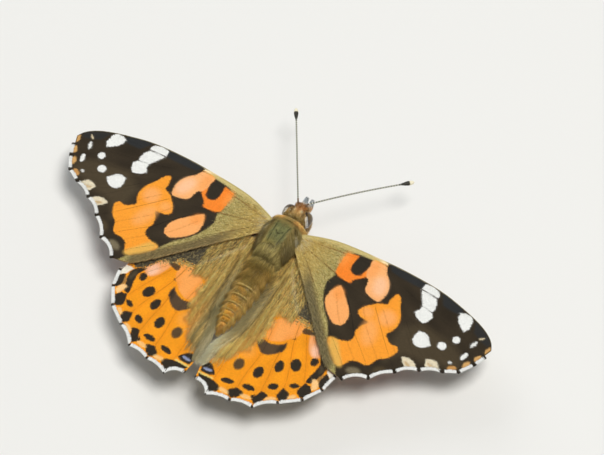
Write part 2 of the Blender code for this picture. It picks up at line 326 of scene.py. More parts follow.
def body_colour(at, spoke):
    """Markings of skin and fur alike, with painted shadows in two gaps, by place on the body and spoke angle.
    """
    out, ahead, up = np.abs(at[:, 0]), at[:, 1], np.sin(spoke)
    on_abdomen = fade(-ahead, 5.0, 5.8)
    ring = fade(segment_share(ahead), 0.86, 0.92) * (1 - fade(segment_share(ahead), 0.97, 1.0))
    bald = (1 - fade(out, SCUTUM["half"] * 0.7, SCUTUM["half"])) * fade(up, 0.4, 0.7)
    bald *= fade(ahead, SCUTUM["rear"], SCUTUM["rear"] + 0.8)
    bald *= 1 - fade(ahead, SCUTUM["front"] - 0.7, SCUTUM["front"])
    tuft = np.exp(-((out - 0.48) / 0.17) ** 2 - ((ahead - 3.4) / 0.22) ** 2)
    brow = np.exp(-((out - 0.94) / 0.15) ** 2 - ((ahead - 3.15) / 0.3) ** 2)
    colours = np.tile(seen(THORAX_BROWN), (len(at), 1))
    for tone, share in (
            (ABDOMEN_BROWN, on_abdomen),
            (ABDOMEN_ORANGE, on_abdomen * fade(-ahead + mottle(at, 1.2, 3), 9.6, 14.0)),
            (FLANK_GOLD, on_abdomen * fade(np.abs(np.cos(spoke)), 0.5, 0.9) * 0.7),
            (ABDOMEN_RING, ring * fade(-ahead, 7.4, 9.4) * fade(up, 0.1, 0.5) * 0.4),
            (SCUTUM_GREEN, bald),
            (SCUTELLUM_OLIVE, bald * fade(-ahead, 2.2, 3.6)),
            (SCUTUM_SEAM, bald * scutum_seams(out, ahead)),
            (COLLAR_TAN, fade(ahead, 0.5, 1.2) * fade(up, -0.4, 0.2) * (0.1 + 0.8 * fade(out, 0.5, 1.0))),
            # Painted shadow: near black in the gap between the collar and each shoulder flap.
            (SLIT_SHADOW, shoulder_slit(at) * 0.95),
            (NAPE_BROWN, fade(ahead, 2.0, 2.4)),
            (CHEEK_TAN, fade(ahead, 2.5, 3.1)),
            (CROWN_RUST, fade(ahead, 3.0, 3.7) * (1 - fade(out, 0.5, 0.95)) * fade(up, 0.0, 0.5)),
            (HEAD_PALE, tuft * fade(up, 0.2, 0.5)),
            # Painted shadow: dark brown in the gap between each eye's white crescent and the crown fur.
            (EYE_GAP_SHADOW, brow * 0.8),
            (BELLY_CREAM, (1 - fade(up, -0.75, -0.25)) * 0.85)):
        colours = laid(colours, tone, share)
    return colours * (1 + 0.13 * mottle(at, 0.5, 7)[:, None])


def body_points(ring, spoke):
    """Places on the skin for fractional ring numbers and spoke angles, in insect terms."""
    turn = spoke / tau * SKIN_SPOKES
    i, j = np.floor(ring).astype(int), np.floor(turn).astype(int)
    fi, fj = ring - i, turn - j
    i1 = np.minimum(i + 1, ring_count - 1)
    j, j1 = j % SKIN_SPOKES, (j + 1) % SKIN_SPOKES
    radius = (skin_radius[i, j] * (1 - fi) * (1 - fj) + skin_radius[i1, j] * fi * (1 - fj)
              + skin_radius[i, j1] * (1 - fi) * fj + skin_radius[i1, j1] * fi * fj)
    ahead = np.interp(ring, np.arange(ring_count), skin_rings)
    axis = np.interp(ahead, *zip(*AXIS))
    return np.stack([radius * np.cos(spoke), ahead, axis + radius * np.sin(spoke)], -1)


def spot_along(ring):
    """How far up the body's unwrap a ring lies; the two ends keep a little room."""
    return 0.02 + 0.96 * ring / (ring_count - 1)


def body_spots(ring, spoke):
    """The body's unwrap: round the body across, along it upwards."""
    return np.stack([(spoke % tau) / tau, spot_along(ring)], -1)


skin_rings = np.arange(SKIN_FRONT, SKIN_TIP, -SKIN_STEP)
ring_count = len(skin_rings)
skin_angles = np.arange(SKIN_SPOKES) * tau / SKIN_SPOKES
skin_radius = skin_spokes(skin_rings, skin_angles)

ring_of, spoke_of = np.meshgrid(np.arange(ring_count), skin_angles, indexing="ij")
skin_at = body_points(ring_of.ravel().astype(float), spoke_of.ravel())
poles = np.array([[0, SKIN_FRONT + 0.06, skin_at[:SKIN_SPOKES, 2].mean()],
                  [0, skin_rings[-1] - 0.1, skin_at[-SKIN_SPOKES:, 2].mean()]])
skin_at = np.concatenate([skin_at, poles])
skin_faces, skin_corner_spots = [], []
for i in range(ring_count - 1):
    for j in range(SKIN_SPOKES):
        j1 = (j + 1) % SKIN_SPOKES
        a, b = i * SKIN_SPOKES + j, i * SKIN_SPOKES + j1
        c, d = b + SKIN_SPOKES, a + SKIN_SPOKES
        left, right = j / SKIN_SPOKES, (j + 1) / SKIN_SPOKES
        near, far = spot_along(i), spot_along(i + 1)
        skin_faces += [(a, b, c), (a, c, d)]
        skin_corner_spots += [[(left, near), (right, near), (right, far)],
                              [(left, near), (right, far), (left, far)]]
front_pole, rear_pole = len(skin_at) - 2, len(skin_at) - 1
rear_ring = (ring_count - 1) * SKIN_SPOKES
near, far = spot_along(0), spot_along(ring_count - 1)
sectors = range(SKIN_SPOKES)
skin_faces += [((j + 1) % SKIN_SPOKES, j, front_pole) for j in sectors]
skin_faces += [(rear_ring + j, rear_ring + (j + 1) % SKIN_SPOKES, rear_pole) for j in sectors]
skin_corner_spots += [[((j + 1) / SKIN_SPOKES, near), (j / SKIN_SPOKES, near), ((j + 0.5) / SKIN_SPOKES, 0)]
                      for j in sectors]
skin_corner_spots += [[(j / SKIN_SPOKES, far), ((j + 1) / SKIN_SPOKES, far), ((j + 0.5) / SKIN_SPOKES, 1)]
                      for j in sectors]
skin_colours = body_colour(skin_at, np.append(spoke_of.ravel(), [0.0, 0.0])) * SKIN_SHADE
body_skin = make_piece("body_skin", place(skin_at), np.array(skin_faces), skin_colours,
                       np.array(skin_corner_spots), marked_finish("chitin_skin", 0.5, 0.12, 0.35, gloss=0.1))
body_skin.data.shade_smooth()
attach(body_skin, "root")
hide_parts("head", "thorax", "abdomen")

# ------------------------------------------------------------
# Body fur. Butterflies wear hair-like scales: a rusty brush on the head, an orange collar, long olive
# fur on the flanks and rump of the thorax, and short flat fur on the abdomen with a pale ring at the
# rear edge of each segment. Each lock is a thin closed blade with its root in the skin.

# Each corner of a lock or straw carries a painted shade: the roots, under the hairs around them, are darker
# than the tips.
LOCK_FACES = np.array([(0, 2, 1), (0, 1, 4), (0, 4, 3), (1, 2, 5), (1, 5, 4), (2, 0, 3), (2, 3, 5),
                       (3, 4, 6), (4, 5, 6), (5, 3, 6)])
LOCK = (LOCK_FACES, (0.7, 0.7, 0.7, 1.0, 1.0, 1.0, 1.0), True)   # faces, each corner's shade, smooth
STRAW = (np.array([(0, 2, 1), (0, 1, 3), (1, 2, 3), (2, 0, 3)]), (0.72, 0.72, 0.78, 1.08), True)
FUR_LIFT = 1.95                   # fur shades itself, so its own colour is paler than what is seen
THORAX_OLIVE, RUMP_OLIVE, COLLAR_OLIVE = (150, 130, 80), (104, 92, 52), (150, 128, 78)
ROOT_TAN, SHOULDER_CREAM = (158, 142, 98), (222, 204, 166)
WAIST_GOLD, FLANK_PALE, TAIL_TAN = (134, 108, 54), (168, 140, 80), (196, 150, 88)
ROOT_SINK = 0.02                  # how deep a root sits under the skin
PATCH = 0.003                     # width of one lock's patch on the unwrap
BODY_MIDDLE = -0.9                # a height inside the body all along it


def locks(roots, lie, over, length, width, rise, curl):
    """Closed three-sided blades: a ring at the root, a ring half way and a point; seven corners each."""
    length, width, rise, curl = (np.broadcast_to(x, len(roots))[:, None] for x in (length, width, rise, curl))
    first = unit(lie * np.cos(rise) + over * np.sin(rise))
    second = unit(lie * np.cos(rise - curl) + over * np.sin(rise - curl))
    across = unit(np.cross(first, over))
    lift = unit(np.cross(across, first))
    middle = roots + first * length * 0.5
    tip = middle + second * length * 0.5
    corners = np.empty((len(roots), 7, 3))
    for k, (sideways, upward) in enumerate(((-0.5, 0.0), (0.5, 0.0), (0.0, 0.35))):
        step = across * sideways * width + lift * upward * width
        corners[:, k] = roots + step - over * ROOT_SINK
        corners[:, k + 3] = middle + step * 0.85
    corners[:, 6] = tip
    return corners


def straws(roots, lie, over, length, width, rise):
    """Closed three-sided straight hairs that end in a point; four corners each."""
    length, width, rise = (np.broadcast_to(x, len(roots))[:, None] for x in (length, width, rise))
    way = unit(lie * np.cos(rise) + over * np.sin(rise))
    across = unit(np.cross(way, over))
    lift = unit(np.cross(across, way))
    corners = np.empty((len(roots), 4, 3))
    for k, (sideways, upward) in enumerate(((-0.5, 0.0), (0.5, 0.0), (0.0, 0.4))):
        corners[:, k] = roots + across * sideways * width + lift * upward * width - over * ROOT_SINK
    corners[:, 3] = roots + way * length
    return corners


def coat_piece(name, corners, shape, colours, spots, finish, to_frame):
    """Join locks, straws or scales into one piece; each keeps one colour, with a painted shade by corner."""
    faces, shade, smooth = shape
    count, size = corners.shape[:2]
    triangles = (faces[None] + np.arange(count)[:, None, None] * size).reshape(-1, 3)
    tones = colours[:, None, :] * np.array(shade)[None, :, None]
    turn = np.arange(size) * tau / size
    offsets = PATCH / 2 * np.stack([np.cos(turn), np.sin(turn)], -1)
    places = np.clip(spots[:, None, :] + offsets[None], 0.001, 0.999)
    piece = make_piece(name, to_frame(corners.reshape(-1, 3)), triangles, tones.reshape(-1, 3),
                       places.reshape(-1, 2), finish)
    if not smooth:
        piece.data.shade_flat()
    return piece


def body_fur(name, seed, count, ahead_span, spoke_span, length, width, rise, curl=None, density=None,
             lie=(0, -1, 0), tone=1.0, tint=None, tint_share=0.0):
    """Locks, or straws where no curl is given, rooted over a stretch of the body's skin."""
    draw = np.random.default_rng(seed)
    ring = draw.uniform(*sorted((SKIN_FRONT - a) / SKIN_STEP for a in ahead_span), count)
    ring = np.clip(ring, 0, ring_count - 2)
    spoke = draw.uniform(*spoke_span, count) % tau
    roots = body_points(ring, spoke)
    if density is not None:
        keep = draw.uniform(size=count) < density(roots, spoke)
        ring, spoke, roots = ring[keep], spoke[keep], roots[keep]
    n = len(roots)
    behind = body_points(np.minimum(ring + 1.0, ring_count - 1), spoke)
    along = behind - body_points(np.maximum(ring - 1.0, 0), spoke)
    around = body_points(ring, spoke + 0.05) - body_points(ring, spoke - 0.05)
    over = unit(np.cross(along, around))
    axis = np.stack([np.zeros(n), roots[:, 1], np.full(n, BODY_MIDDLE)], -1)
    over *= np.sign((over * (roots - axis)).sum(1))[:, None]
    way = lie(roots, spoke) if callable(lie) else np.asarray(lie, float)
    way = way + draw.normal(scale=0.16, size=(n, 3))
    way = unit(way - over * (way * over).sum(1)[:, None])
    size = length(roots, spoke) if callable(length) else length
    size = size * draw.uniform(0.7, 1.2, n)
    colours = body_colour(roots + way * size[:, None] * 0.4, spoke) * tone * draw.uniform(0.65, 1.5, (n, 1))
    if tint is not None:
        picked = draw.uniform(size=n) < tint_share
        colours[picked] = seen(tint) * draw.uniform(0.75, 1.2, (picked.sum(), 1))
    colours *= FUR_LIFT
    rise = (rise(roots) if callable(rise) else rise) * draw.uniform(0.6, 1.4, n)
    if curl:
        corners, shape = locks(roots, way, over, size, width, rise, curl), LOCK
    else:
        corners, shape = straws(roots, way, over, size, width, rise), STRAW
    piece = coat_piece(name, corners, shape, colours, body_spots(ring, spoke), fur_finish, place)
    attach(piece, "root")
    return piece


def thorax_density(at, spoke):
    """Full fur, but nearly none on the bald plate."""
    bald = (1 - fade(np.abs(at[:, 0]), 0.85, 1.3)) * fade(np.sin(spoke), 0.4, 0.7)
    bald *= fade(at[:, 1], -4.0, -3.3) * (1 - fade(at[:, 1], -0.1, 0.7))
    return (1 - 0.985 * bald) * (1 - 0.9 * shoulder_slit(at))


def thorax_length(at, spoke):
    """Longest on the rump and low on the flanks."""
    return 0.85 + 0.55 * fade(-at[:, 1], 2.6, 4.4) + 0.35 * fade(-np.sin(spoke), -0.3, 0.5)


def thorax_lie(at, spoke):
    """Backwards, and outwards over the wing roots."""
    outwards = np.sign(at[:, 0]) * fade(np.abs(at[:, 0]), 0.9, 1.8) * 0.45
    return np.stack([outwards, -np.ones(len(at)), np.full(len(at), -0.15)], -1)


def beside_the_roots(at, spoke):
    """Only just above the forewings' roots."""
    return fade(np.abs(at[:, 0]), 1.3, 1.8) * fade(at[:, 2], -0.5, 0.0) * (1 - 0.9 * shoulder_slit(at))


def root_tuft_lie(at, spoke):
    """Outwards and backwards, over the roots' hard edges."""
    return np.stack([np.sign(at[:, 0]) * 0.9, -np.ones(len(at)), np.full(len(at), -0.1)], -1)


def on_the_shoulders(at, spoke):
    """A pale tuft just behind each collar, over the root of the forewing's front vein."""
    along = np.exp(-((at[:, 1] + 0.5) / 0.4) ** 4)
    return fade(np.abs(at[:, 0]), 1.7, 2.0) * fade(at[:, 2], -0.6, -0.2) * along


def on_a_ring(at, spoke):
    """Only in a thin line at the rear of each segment, fainter to the front."""
    line = np.exp(-((segment_share(at[:, 1]) - 0.9) / 0.024) ** 2)
    return line * fade(np.sin(spoke), 0.05, 0.4) * (0.16 + 0.6 * fade(-at[:, 1], 8.6, 9.6))


fur_finish = marked_finish("hair_scales", 0.62, 0.25, 0.1, sheen=0.06, shine=0.15)
body_fur("thorax_fur", 11, 30000, (1.75, -5.1), (0, tau), thorax_length, 0.05, 0.24,
         density=thorax_density, lie=thorax_lie, tone=1.15, tint=THORAX_OLIVE, tint_share=0.35)
body_fur("scutum_down", 18, 16000, (0.9, -4.4), (0.15 * pi, 0.85 * pi), 0.34, 0.03, 0.18,
         density=lambda at, spoke: 1 - thorax_density(at, spoke), tone=1.1)
body_fur("rump_fur", 12, 2800, (-3.2, -5.3), (0.0, pi), 2.2, 0.055,
         lambda at: 0.22 + 0.9 * fade(-at[:, 1], 3.9, 4.9),
         curl=0.35, tone=1.25, tint=RUMP_OLIVE, tint_share=0.3)
body_fur("wing_root_tufts", 19, 9000, (0.9, -3.4), (-0.12 * pi, 1.12 * pi), 1.5, 0.045, 0.34,
         density=beside_the_roots, lie=root_tuft_lie, tone=1.2, tint=ROOT_TAN, tint_share=0.4)
body_fur("shoulder_tufts", 25, 6000, (0.0, -1.1), (-0.12 * pi, 1.12 * pi), 0.9, 0.045, 0.5,
         density=on_the_shoulders, lie=root_tuft_lie, tint=SHOULDER_CREAM, tint_share=0.8)
body_fur("collar_fur", 13, 7000, (2.0, 0.6), (-0.1 * pi, 1.1 * pi), 0.8, 0.042, 0.22,
         tone=1.15, tint=COLLAR_OLIVE, tint_share=0.2)
body_fur("abdomen_fur", 14, 22000, (-5.3, -16.2), (0, tau), 0.36, 0.06, 0.12)
body_fur("abdomen_base_fur", 15, 7000, (-5.1, -8.2), (0, tau), 1.5, 0.05, 0.26,
         density=lambda at, spoke: 0.35 + 0.65 * fade(np.abs(np.cos(spoke)), 0.4, 0.9),
         tint=WAIST_GOLD, tint_share=0.4)
body_fur("flank_fur", 17, 9000, (-6.0, -15.5), (-0.25 * pi, 1.25 * pi), 1.2, 0.045, 0.34,
         density=lambda at, spoke: fade(np.abs(np.cos(spoke)), 0.55, 0.95), tone=1.1, tint=FLANK_PALE,
         tint_share=0.5)
body_fur("ring_fur", 24, 60000, (-7.8, -15.0), (0.04 * pi, 0.96 * pi), 0.2, 0.036, 0.26,
         density=on_a_ring, tint=ABDOMEN_RING, tint_share=1.0)
body_fur("tail_brush", 16, 1500, (-15.0, -16.3), (0, tau), 0.75, 0.05, 0.18, tint=TAIL_TAN, tint_share=0.5)

# ------------------------------------------------------------
# Head fur. A rusty brush stands up between the feelers and leans forward over the face; the face below
# it and the cheeks under the eyes are pale. The hairs of the head are the smallest on the insect.

def head_lie(at, spoke):
    """Forward on the face and crown, backward on the nape."""
    forward = fade(at[:, 1], 2.1, 2.6) * 2 - 1
    return np.stack([np.sign(at[:, 0]) * 0.3, forward, np.full(len(at), 0.25)], -1)


def off_the_eyes(at, spoke):
    """No hair on the bare eyes nor on the white crescents behind them."""
    clear = np.ones(len(at))
    for name, eye in EYES.items():
        way = (at - eye["centre"]) / eye["radii"]
        near = np.linalg.norm((at - eye["centre"]) / (eye["radii"] + 0.25), axis=1) < 1.0
        edge = EYE_OPENING - 0.02 - CRESCENT_DEPTH * crescent(unit(way), name)
        clear *= ~(near & (bareness(at, name) > edge))
    return clear


body_fur("head_brush", 21, 10000, (4.65, 2.3), (0.05 * pi, 0.95 * pi), 0.45, 0.035, 0.6,
         density=off_the_eyes, lie=head_lie, tone=1.1, tint=HEAD_PALE, tint_share=0.06)
body_fur("face_fur", 22, 5500, (4.7, 2.6), (-0.95 * pi, 0.0 * pi), 0.36, 0.035, 0.4,
         density=off_the_eyes, lie=head_lie, tone=1.1, tint=HEAD_PALE, tint_share=0.4)
body_fur("nape_fur", 23, 5000, (3.2, 1.95), (0, tau), 0.5, 0.04, 0.5,
         density=off_the_eyes, tone=1.1, tint=HEAD_PALE, tint_share=0.06)

# The blunt front of the face, ahead of the first ring of the skin, has its own hair.
draw = np.random.default_rng(26)
count = 2200
spoke = draw.uniform(0, tau, count)
edge = body_points(np.zeros(count), spoke)
roots = poles[0] + (edge - poles[0]) * np.sqrt(draw.uniform(0, 1, (count, 1)))
way = unit(np.array((0, 0.25, -1.0)) + draw.normal(scale=0.2, size=(count, 3)))
corners = straws(roots, way, np.tile((0, 1.0, 0), (count, 1)), 0.32 * draw.uniform(0.7, 1.2, count), 0.035,
                 0.35 * draw.uniform(0.5, 1.3, count))
tones = body_colour(roots, spoke) * FUR_LIFT * draw.uniform(0.7, 1.5, (count, 1))
brow = coat_piece("brow_fur", corners, STRAW, tones, body_spots(np.zeros(count), spoke), fur_finish, place)
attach(brow, "root")

# ------------------------------------------------------------
# Eyes. Two large compound eyes, half sunk in the head: smooth brown domes of many thousand facets over
# darker blotches. Each has a thin brown rim of scales, with a broad white crescent over its top and rear.

EYE_COLOUR, EYE_DARK = (112, 92, 54), (70, 54, 30)
EYE_RIM_WHITE, ORBIT_BROWN = (255, 246, 224), (66, 48, 30)
EYE_SWELL = 0.03                  # the living eye is a little fuller than the solid
FACET, BLOTCH = 0.045, 0.3        # sizes of the facets and of the darker blotches under them


def eye_finish():
    """Glossy brown facets over darker blotches."""
    finish, shader, nodes, links = new_finish("eye_facets")
    set_sockets(shader, {"Coat Weight": 0.35, "Coat Roughness": 0.2, "Roughness": 0.35})
    place_node = nodes.new("ShaderNodeTexCoord")
    facets = nodes.new("ShaderNodeTexVoronoi")
    set_sockets(facets, {"Scale": 1 / (FACET * MM)})
    links.new(place_node.outputs["Object"], facets.inputs["Vector"])
    noise = nodes.new("ShaderNodeTexNoise")
    set_sockets(noise, {"Scale": 1 / (BLOTCH * MM)})
    links.new(place_node.outputs["Object"], noise.inputs["Vector"])
    tones = nodes.new("ShaderNodeValToRGB")
    tones.color_ramp.elements[0].position = 0.4
    tones.color_ramp.elements[0].color = (*seen(EYE_DARK), 1)
    tones.color_ramp.elements[1].position = 0.62
    tones.color_ramp.elements[1].color = (*seen(EYE_COLOUR), 1)
    links.new(noise.outputs["Fac"], tones.inputs["Fac"])
    links.new(tones.outputs["Color"], shader.inputs["Base Color"])
    relief = nodes.new("ShaderNodeBump")
    set_sockets(relief, {"Strength": 0.5, "Distance": 0.01 * MM})
    relief.invert = True
    links.new(facets.outputs["Distance"], relief.inputs["Height"])
    links.new(relief.outputs["Normal"], shader.inputs["Normal"])
    return finish


def ball(rings, around):
    """Corners and triangles of a round ball of radius 1."""
    corners = [(0, 0, 1)]
    for i in range(1, rings):
        fall = pi * i / rings
        corners += [(sin(fall) * cos(tau * j / around), sin(fall) * sin(tau * j / around), cos(fall))
                    for j in range(around)]
    corners.append((0, 0, -1))
    faces = []
    for j in range(around):
        j1 = (j + 1) % around
        faces.append((0, 1 + j, 1 + j1))
        for i in range(rings - 2):
            a, b = 1 + i * around + j, 1 + i * around + j1
            faces += [(a, a + around, b), (b, a + around, b + around)]
        last = 1 + (rings - 2) * around
        faces.append((last + j, len(corners) - 1, last + j1))
    return np.array(corners, float), np.array(faces)


eye_glass = eye_finish()
for name in SIDES:
    centre, radii = EYES[name]["centre"], EYES[name]["radii"]
    corners, faces = ball(40, 64)
    spots = np.stack([np.arctan2(corners[:, 1], corners[:, 0]) / tau + 0.5, corners[:, 2] / 2 + 0.5], -1)
    eye = make_piece("compound_eye_" + name, place(corners * (radii + EYE_SWELL) + centre), faces,
                     np.tile(seen(EYE_COLOUR), (len(corners), 1)), spots, eye_glass)
    eye.data.shade_smooth()
    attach(eye, "root")
    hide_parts("eye_" + name)

rim_finish = marked_finish("orbit_scales", 0.6, 0.2, 0.1, sheen=0.2)
for name, side in SIDES.items():
    draw = np.random.default_rng(31 + side)
    centre, radii = EYES[name]["centre"], EYES[name]["radii"]
    facing, above, behind = eye_axes(name)
    count = 2600                      # scales round one eye
    turn = draw.uniform(0, tau, count)
    circle = above * np.cos(turn)[:, None] + behind * np.sin(turn)[:, None]
    white = crescent(circle, name)
    spread = draw.uniform(0, 1, count) * (0.07 + CRESCENT_DEPTH * white)
    cosine = EYE_OPENING + 0.05 - spread
    rise_out = unit(circle * np.sqrt(1 - cosine ** 2)[:, None] + facing * cosine[:, None])
    roots = centre + rise_out * (radii + ORBIT_COVER * (0.4 + 0.6 * fade(spread, 0, 0.1)[:, None]))
    way = facing * 0.6 + np.cross(facing, circle) * 0.5 * side
    way = unit(way + draw.normal(scale=0.15, size=(count, 3)))
    way = unit(way - rise_out * (way * rise_out).sum(1)[:, None])
    white = (white * fade(spread, 0.03, 0.06))[:, None]
    tones = seen(EYE_RIM_WHITE) * 1.7 * white + seen(ORBIT_BROWN) * (1 - white)
    corners = straws(roots, way, rise_out, 0.2 * draw.uniform(0.7, 1.2, count), 0.06, 0.1)
    spots = np.stack([turn / tau, 0.2 + spread], -1)
    tones = tones * draw.uniform(0.8, 1.1, (count, 1))
    rim = coat_piece("orbit_rim_" + name, corners, STRAW, tones, spots, rim_finish, place)
    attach(rim, "root")

# ------------------------------------------------------------
# Palps. Two furry three-jointed feelers that stand up in front of the face like a short snout and
# guard the tongue; brown and orange below, with blue-grey scales towards their dark pointed tips.

PALP_LINE = [(0.46, 4.55, -2.0, 0.2), (0.5, 5.2, -2.05, 0.27), (0.46, 5.75, -1.85, 0.25),
             (0.41, 6.28, -1.45, 0.12)]      # out, ahead, up, radius
PALP_ROOT, PALP_TIP, PALP_SPECK = (170, 126, 76), (112, 120, 126), (206, 206, 196)
ON_FLOOR = 0.005 - WING_ROOTS_Z   # the lowest that anything reaches


def smooth_through(points, steps):
    """A smooth curve through the points, with so many steps between neighbours."""
    points = np.asarray(points, float)
    line = np.concatenate([[2 * points[0] - points[1]], points, [2 * points[-1] - points[-2]]])
    t = (np.arange(steps) / steps)[:, None]
    curve = []
    for before, start, end, after in zip(line, line[1:], line[2:], line[3:]):
        square = 2 * before - 5 * start + 4 * end - after
        cube = 3 * start - before - 3 * end + after
        curve.append(0.5 * (2 * start + (end - before) * t + square * t ** 2 + cube * t ** 3))
    return np.concatenate(curve + [points[-1:]])


def tube_frames(centres):
    """Along, across and over directions for each point of a centre line."""
    along = unit(np.gradient(centres, axis=0))
    across = unit(np.cross(along, (0, 0, 1.0)) + (1e-6, 0, 0))
    return along, across, np.cross(across, along)


def tube_points(line, sides):
    """Rings of corners round a line of (out, ahead, up, radius) points."""
    _, across, over = tube_frames(line[:, :3])
    angle = (np.arange(sides) + 0.5) * tau / sides
    ring = across[:, None] * np.cos(angle)[None, :, None] + over[:, None] * np.sin(angle)[None, :, None]
    return (line[:, None, :3] + ring * line[:, 3][:, None, None]).reshape(-1, 3)


def tube_shares(line, sides):
    """For each corner of a tube, its share of the length and of the turn round it."""
    turns = (np.arange(sides) + 0.5) / sides
    return np.repeat(np.linspace(0, 1, len(line)), sides), np.tile(turns, len(line))


def tube_faces(rings, sides):
    """Triangles of a tube with both ends closed."""
    faces = []
    for i in range(rings - 1):
        for j in range(sides):
            a, b = i * sides + j, i * sides + (j + 1) % sides
            faces += [(a, b, b + sides), (a, b + sides, a + sides)]
    for first, flip in ((0, True), ((rings - 1) * sides, False)):
        for j in range(1, sides - 1):
            face = (first, first + j, first + j + 1)
            faces.append(face[::-1] if flip else face)
    return np.array(faces)


def tube_piece(name, line, side, sides, tone_at, finish):
    """A limb along (out, ahead, up, radius) points, coloured by its share of length and angle round."""
    share, angle = tube_shares(line, sides)
    piece = make_piece(name, place(tube_points(line, sides), side), tube_faces(len(line), sides),
                       tone_at(share, angle), np.stack([angle, share], -1), finish)
    piece.data.shade_smooth()
    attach(piece, "root")
    return piece


def tube_fur(name, line, side, seed, count, length, width, rise, tone_at, finish,
             share_span=(0.02, 0.98)):
    """Locks that lie along a limb towards its tip."""
    draw = np.random.default_rng(seed)
    share = draw.uniform(*share_span, count)
    angle = draw.uniform(0, tau, count)
    along, across, over = tube_frames(line[:, :3])
    at = share * (len(line) - 1)
    i = np.minimum(at.astype(int), len(line) - 2)
    mix = (at - i)[:, None]
    centre = line[i] * (1 - mix) + line[i + 1] * mix
    outward = across[i] * np.cos(angle)[:, None] + over[i] * np.sin(angle)[:, None]
    roots = centre[:, :3] + outward * centre[:, 3:] * 0.97
    way = unit(along[i] + draw.normal(scale=0.15, size=(count, 3)))
    tones = tone_at(share, angle / tau) * draw.uniform(0.7, 1.3, (count, 1)) * FUR_LIFT
    size = length * draw.uniform(0.7, 1.2, count)
    corners = locks(roots, way, outward, size, width, rise, rise * 0.8)
    corners[..., 2] = np.maximum(corners[..., 2], ON_FLOOR)
    spots = np.stack([angle / tau, 0.01 + 0.98 * share], -1)
    piece = coat_piece(name, corners, LOCK, tones, spots, finish, lambda at: place(at, side))
    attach(piece, "root")
    return piece


def palp_tone(share, angle):
    """Tan, then blue-grey with pale specks, dark at the very tip."""
    tone = laid(seen(PALP_ROOT), PALP_TIP, fade(share, 0.35, 0.7))
    tone = laid(tone, PALP_SPECK, (np.sin(angle * 97.0) > 0.55) * 0.7)
    return tone * (1 - 0.5 * fade(share, 0.9, 1.0)[:, None])


for name, side in SIDES.items():
    line = smooth_through(PALP_LINE, 6)
    palp = tube_piece("palp_skin_" + name, line, side, 12, palp_tone, fur_finish)
    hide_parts("palp_" + name)
    tube_fur("palp_fur_" + name, line, side, 41, 1300, 0.34, 0.04, 0.42, palp_tone, fur_finish)

# ------------------------------------------------------------
# Tongue. A thin horny tube, brown with fine amber bands. It leaves the mouth between the palps and is
# rolled up like a watch spring under the head, each turn inside the last.

TONGUE_MOUTH = [(0, 4.35, -1.7), (0, 4.75, -2.15), (0, 4.95, -2.75)]
TONGUE_COIL = dict(ahead=4.15, up=-3.5, outer=0.8, inner=0.2, turns=3.2, start=0.6)
TONGUE_THICK, TONGUE_THIN = 0.11, 0.055
COIL_STEPS = 110
TONGUE_BROWN, TONGUE_AMBER = (92, 60, 34), (150, 104, 60)
coil_turn = np.linspace(TONGUE_COIL["start"], TONGUE_COIL["start"] - tau * TONGUE_COIL["turns"], COIL_STEPS)
coil_radius = np.linspace(TONGUE_COIL["outer"], TONGUE_COIL["inner"], COIL_STEPS)
coil = np.stack([np.zeros(COIL_STEPS), TONGUE_COIL["ahead"] + coil_radius * np.cos(coil_turn),
                 TONGUE_COIL["up"] + coil_radius * np.sin(coil_turn)], -1)
stalk = smooth_through(TONGUE_MOUTH + [tuple(coil[0])], 8)[:-1]
tongue_line = np.concatenate([stalk, coil])
ripple = 1 + 0.1 * np.sin(np.arange(len(tongue_line)) * 1.9)
tongue_radius = np.linspace(TONGUE_THICK, TONGUE_THIN, len(tongue_line)) * ripple


def tongue_tone(share, angle):
    """Brown with fine amber bands."""
    banded = 0.5 + 0.5 * np.sin(share * 420)
    return laid(seen(TONGUE_BROWN), TONGUE_AMBER, banded * 0.5)


horn_finish = marked_finish("horn_brown", 0.4, 0.06, 0.3, gloss=0.3)
tongue = tube_piece("tongue", np.column_stack([tongue_line, tongue_radius]), 1, 12, tongue_tone, horn_finish)
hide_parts("proboscis")

# ------------------------------------------------------------
# Feelers. About forty short beads on two thicker root joints, black above with a white scale ring at
# the foot of each bead, ending in a flattened black club with a cream tip.

ANTENNA_BASE = (0.72, 4.6, 0.45)
ANTENNA_FOOT = (0.56, 4.35, 0.05)  # in the crown of the head
ANTENNA_TIPS = {"left": (8.35, 16.9, -0.4), "right": (10.45, 15.25, -1.25)}
ANTENNA_BOW = 0.35
SHAFT_RADIUS, CLUB_RADIUS = 0.108, 0.3
CLUB_START = 0.885
BEADS = 40
FEELER_BLACK, FEELER_WHITE = (52, 50, 42), (214, 214, 196)
CLUB_CREAM, FEELER_ROOT = (244, 236, 206), (118, 86, 54)


def antenna_line(tip):
    """Centre points and radii, with the root joints, the beads and the club."""
    share = np.linspace(0, 1, 360)
    start, end = np.array(ANTENNA_BASE), np.array(tip)
    centre = start + (end - start) * share[:, None]
    centre[:, 2] += ANTENNA_BOW * 4 * share * (1 - share)
    bead = (share * BEADS) % 1.0
    radius = SHAFT_RADIUS * (0.86 + 0.2 * np.sin(bead * pi))
    swell = fade(share, CLUB_START - 0.03, CLUB_START + 0.06)
    round_tip = np.sqrt(np.clip(1 - ((share - 0.955) / 0.045).clip(0, 1) ** 2, 0.01, 1))
    radius = (radius + (CLUB_RADIUS - SHAFT_RADIUS) * swell) * round_tip
    radius += 0.02 * np.exp(-((share - 0.012) / 0.01) ** 2)
    foot = np.linspace(np.array(ANTENNA_FOOT), start, 6)[:-1]
    foot_radius = np.array([0.08, 0.1, 0.12, 0.12, 0.11])
    return np.concatenate([np.column_stack([foot, foot_radius]), np.column_stack([centre, radius])])


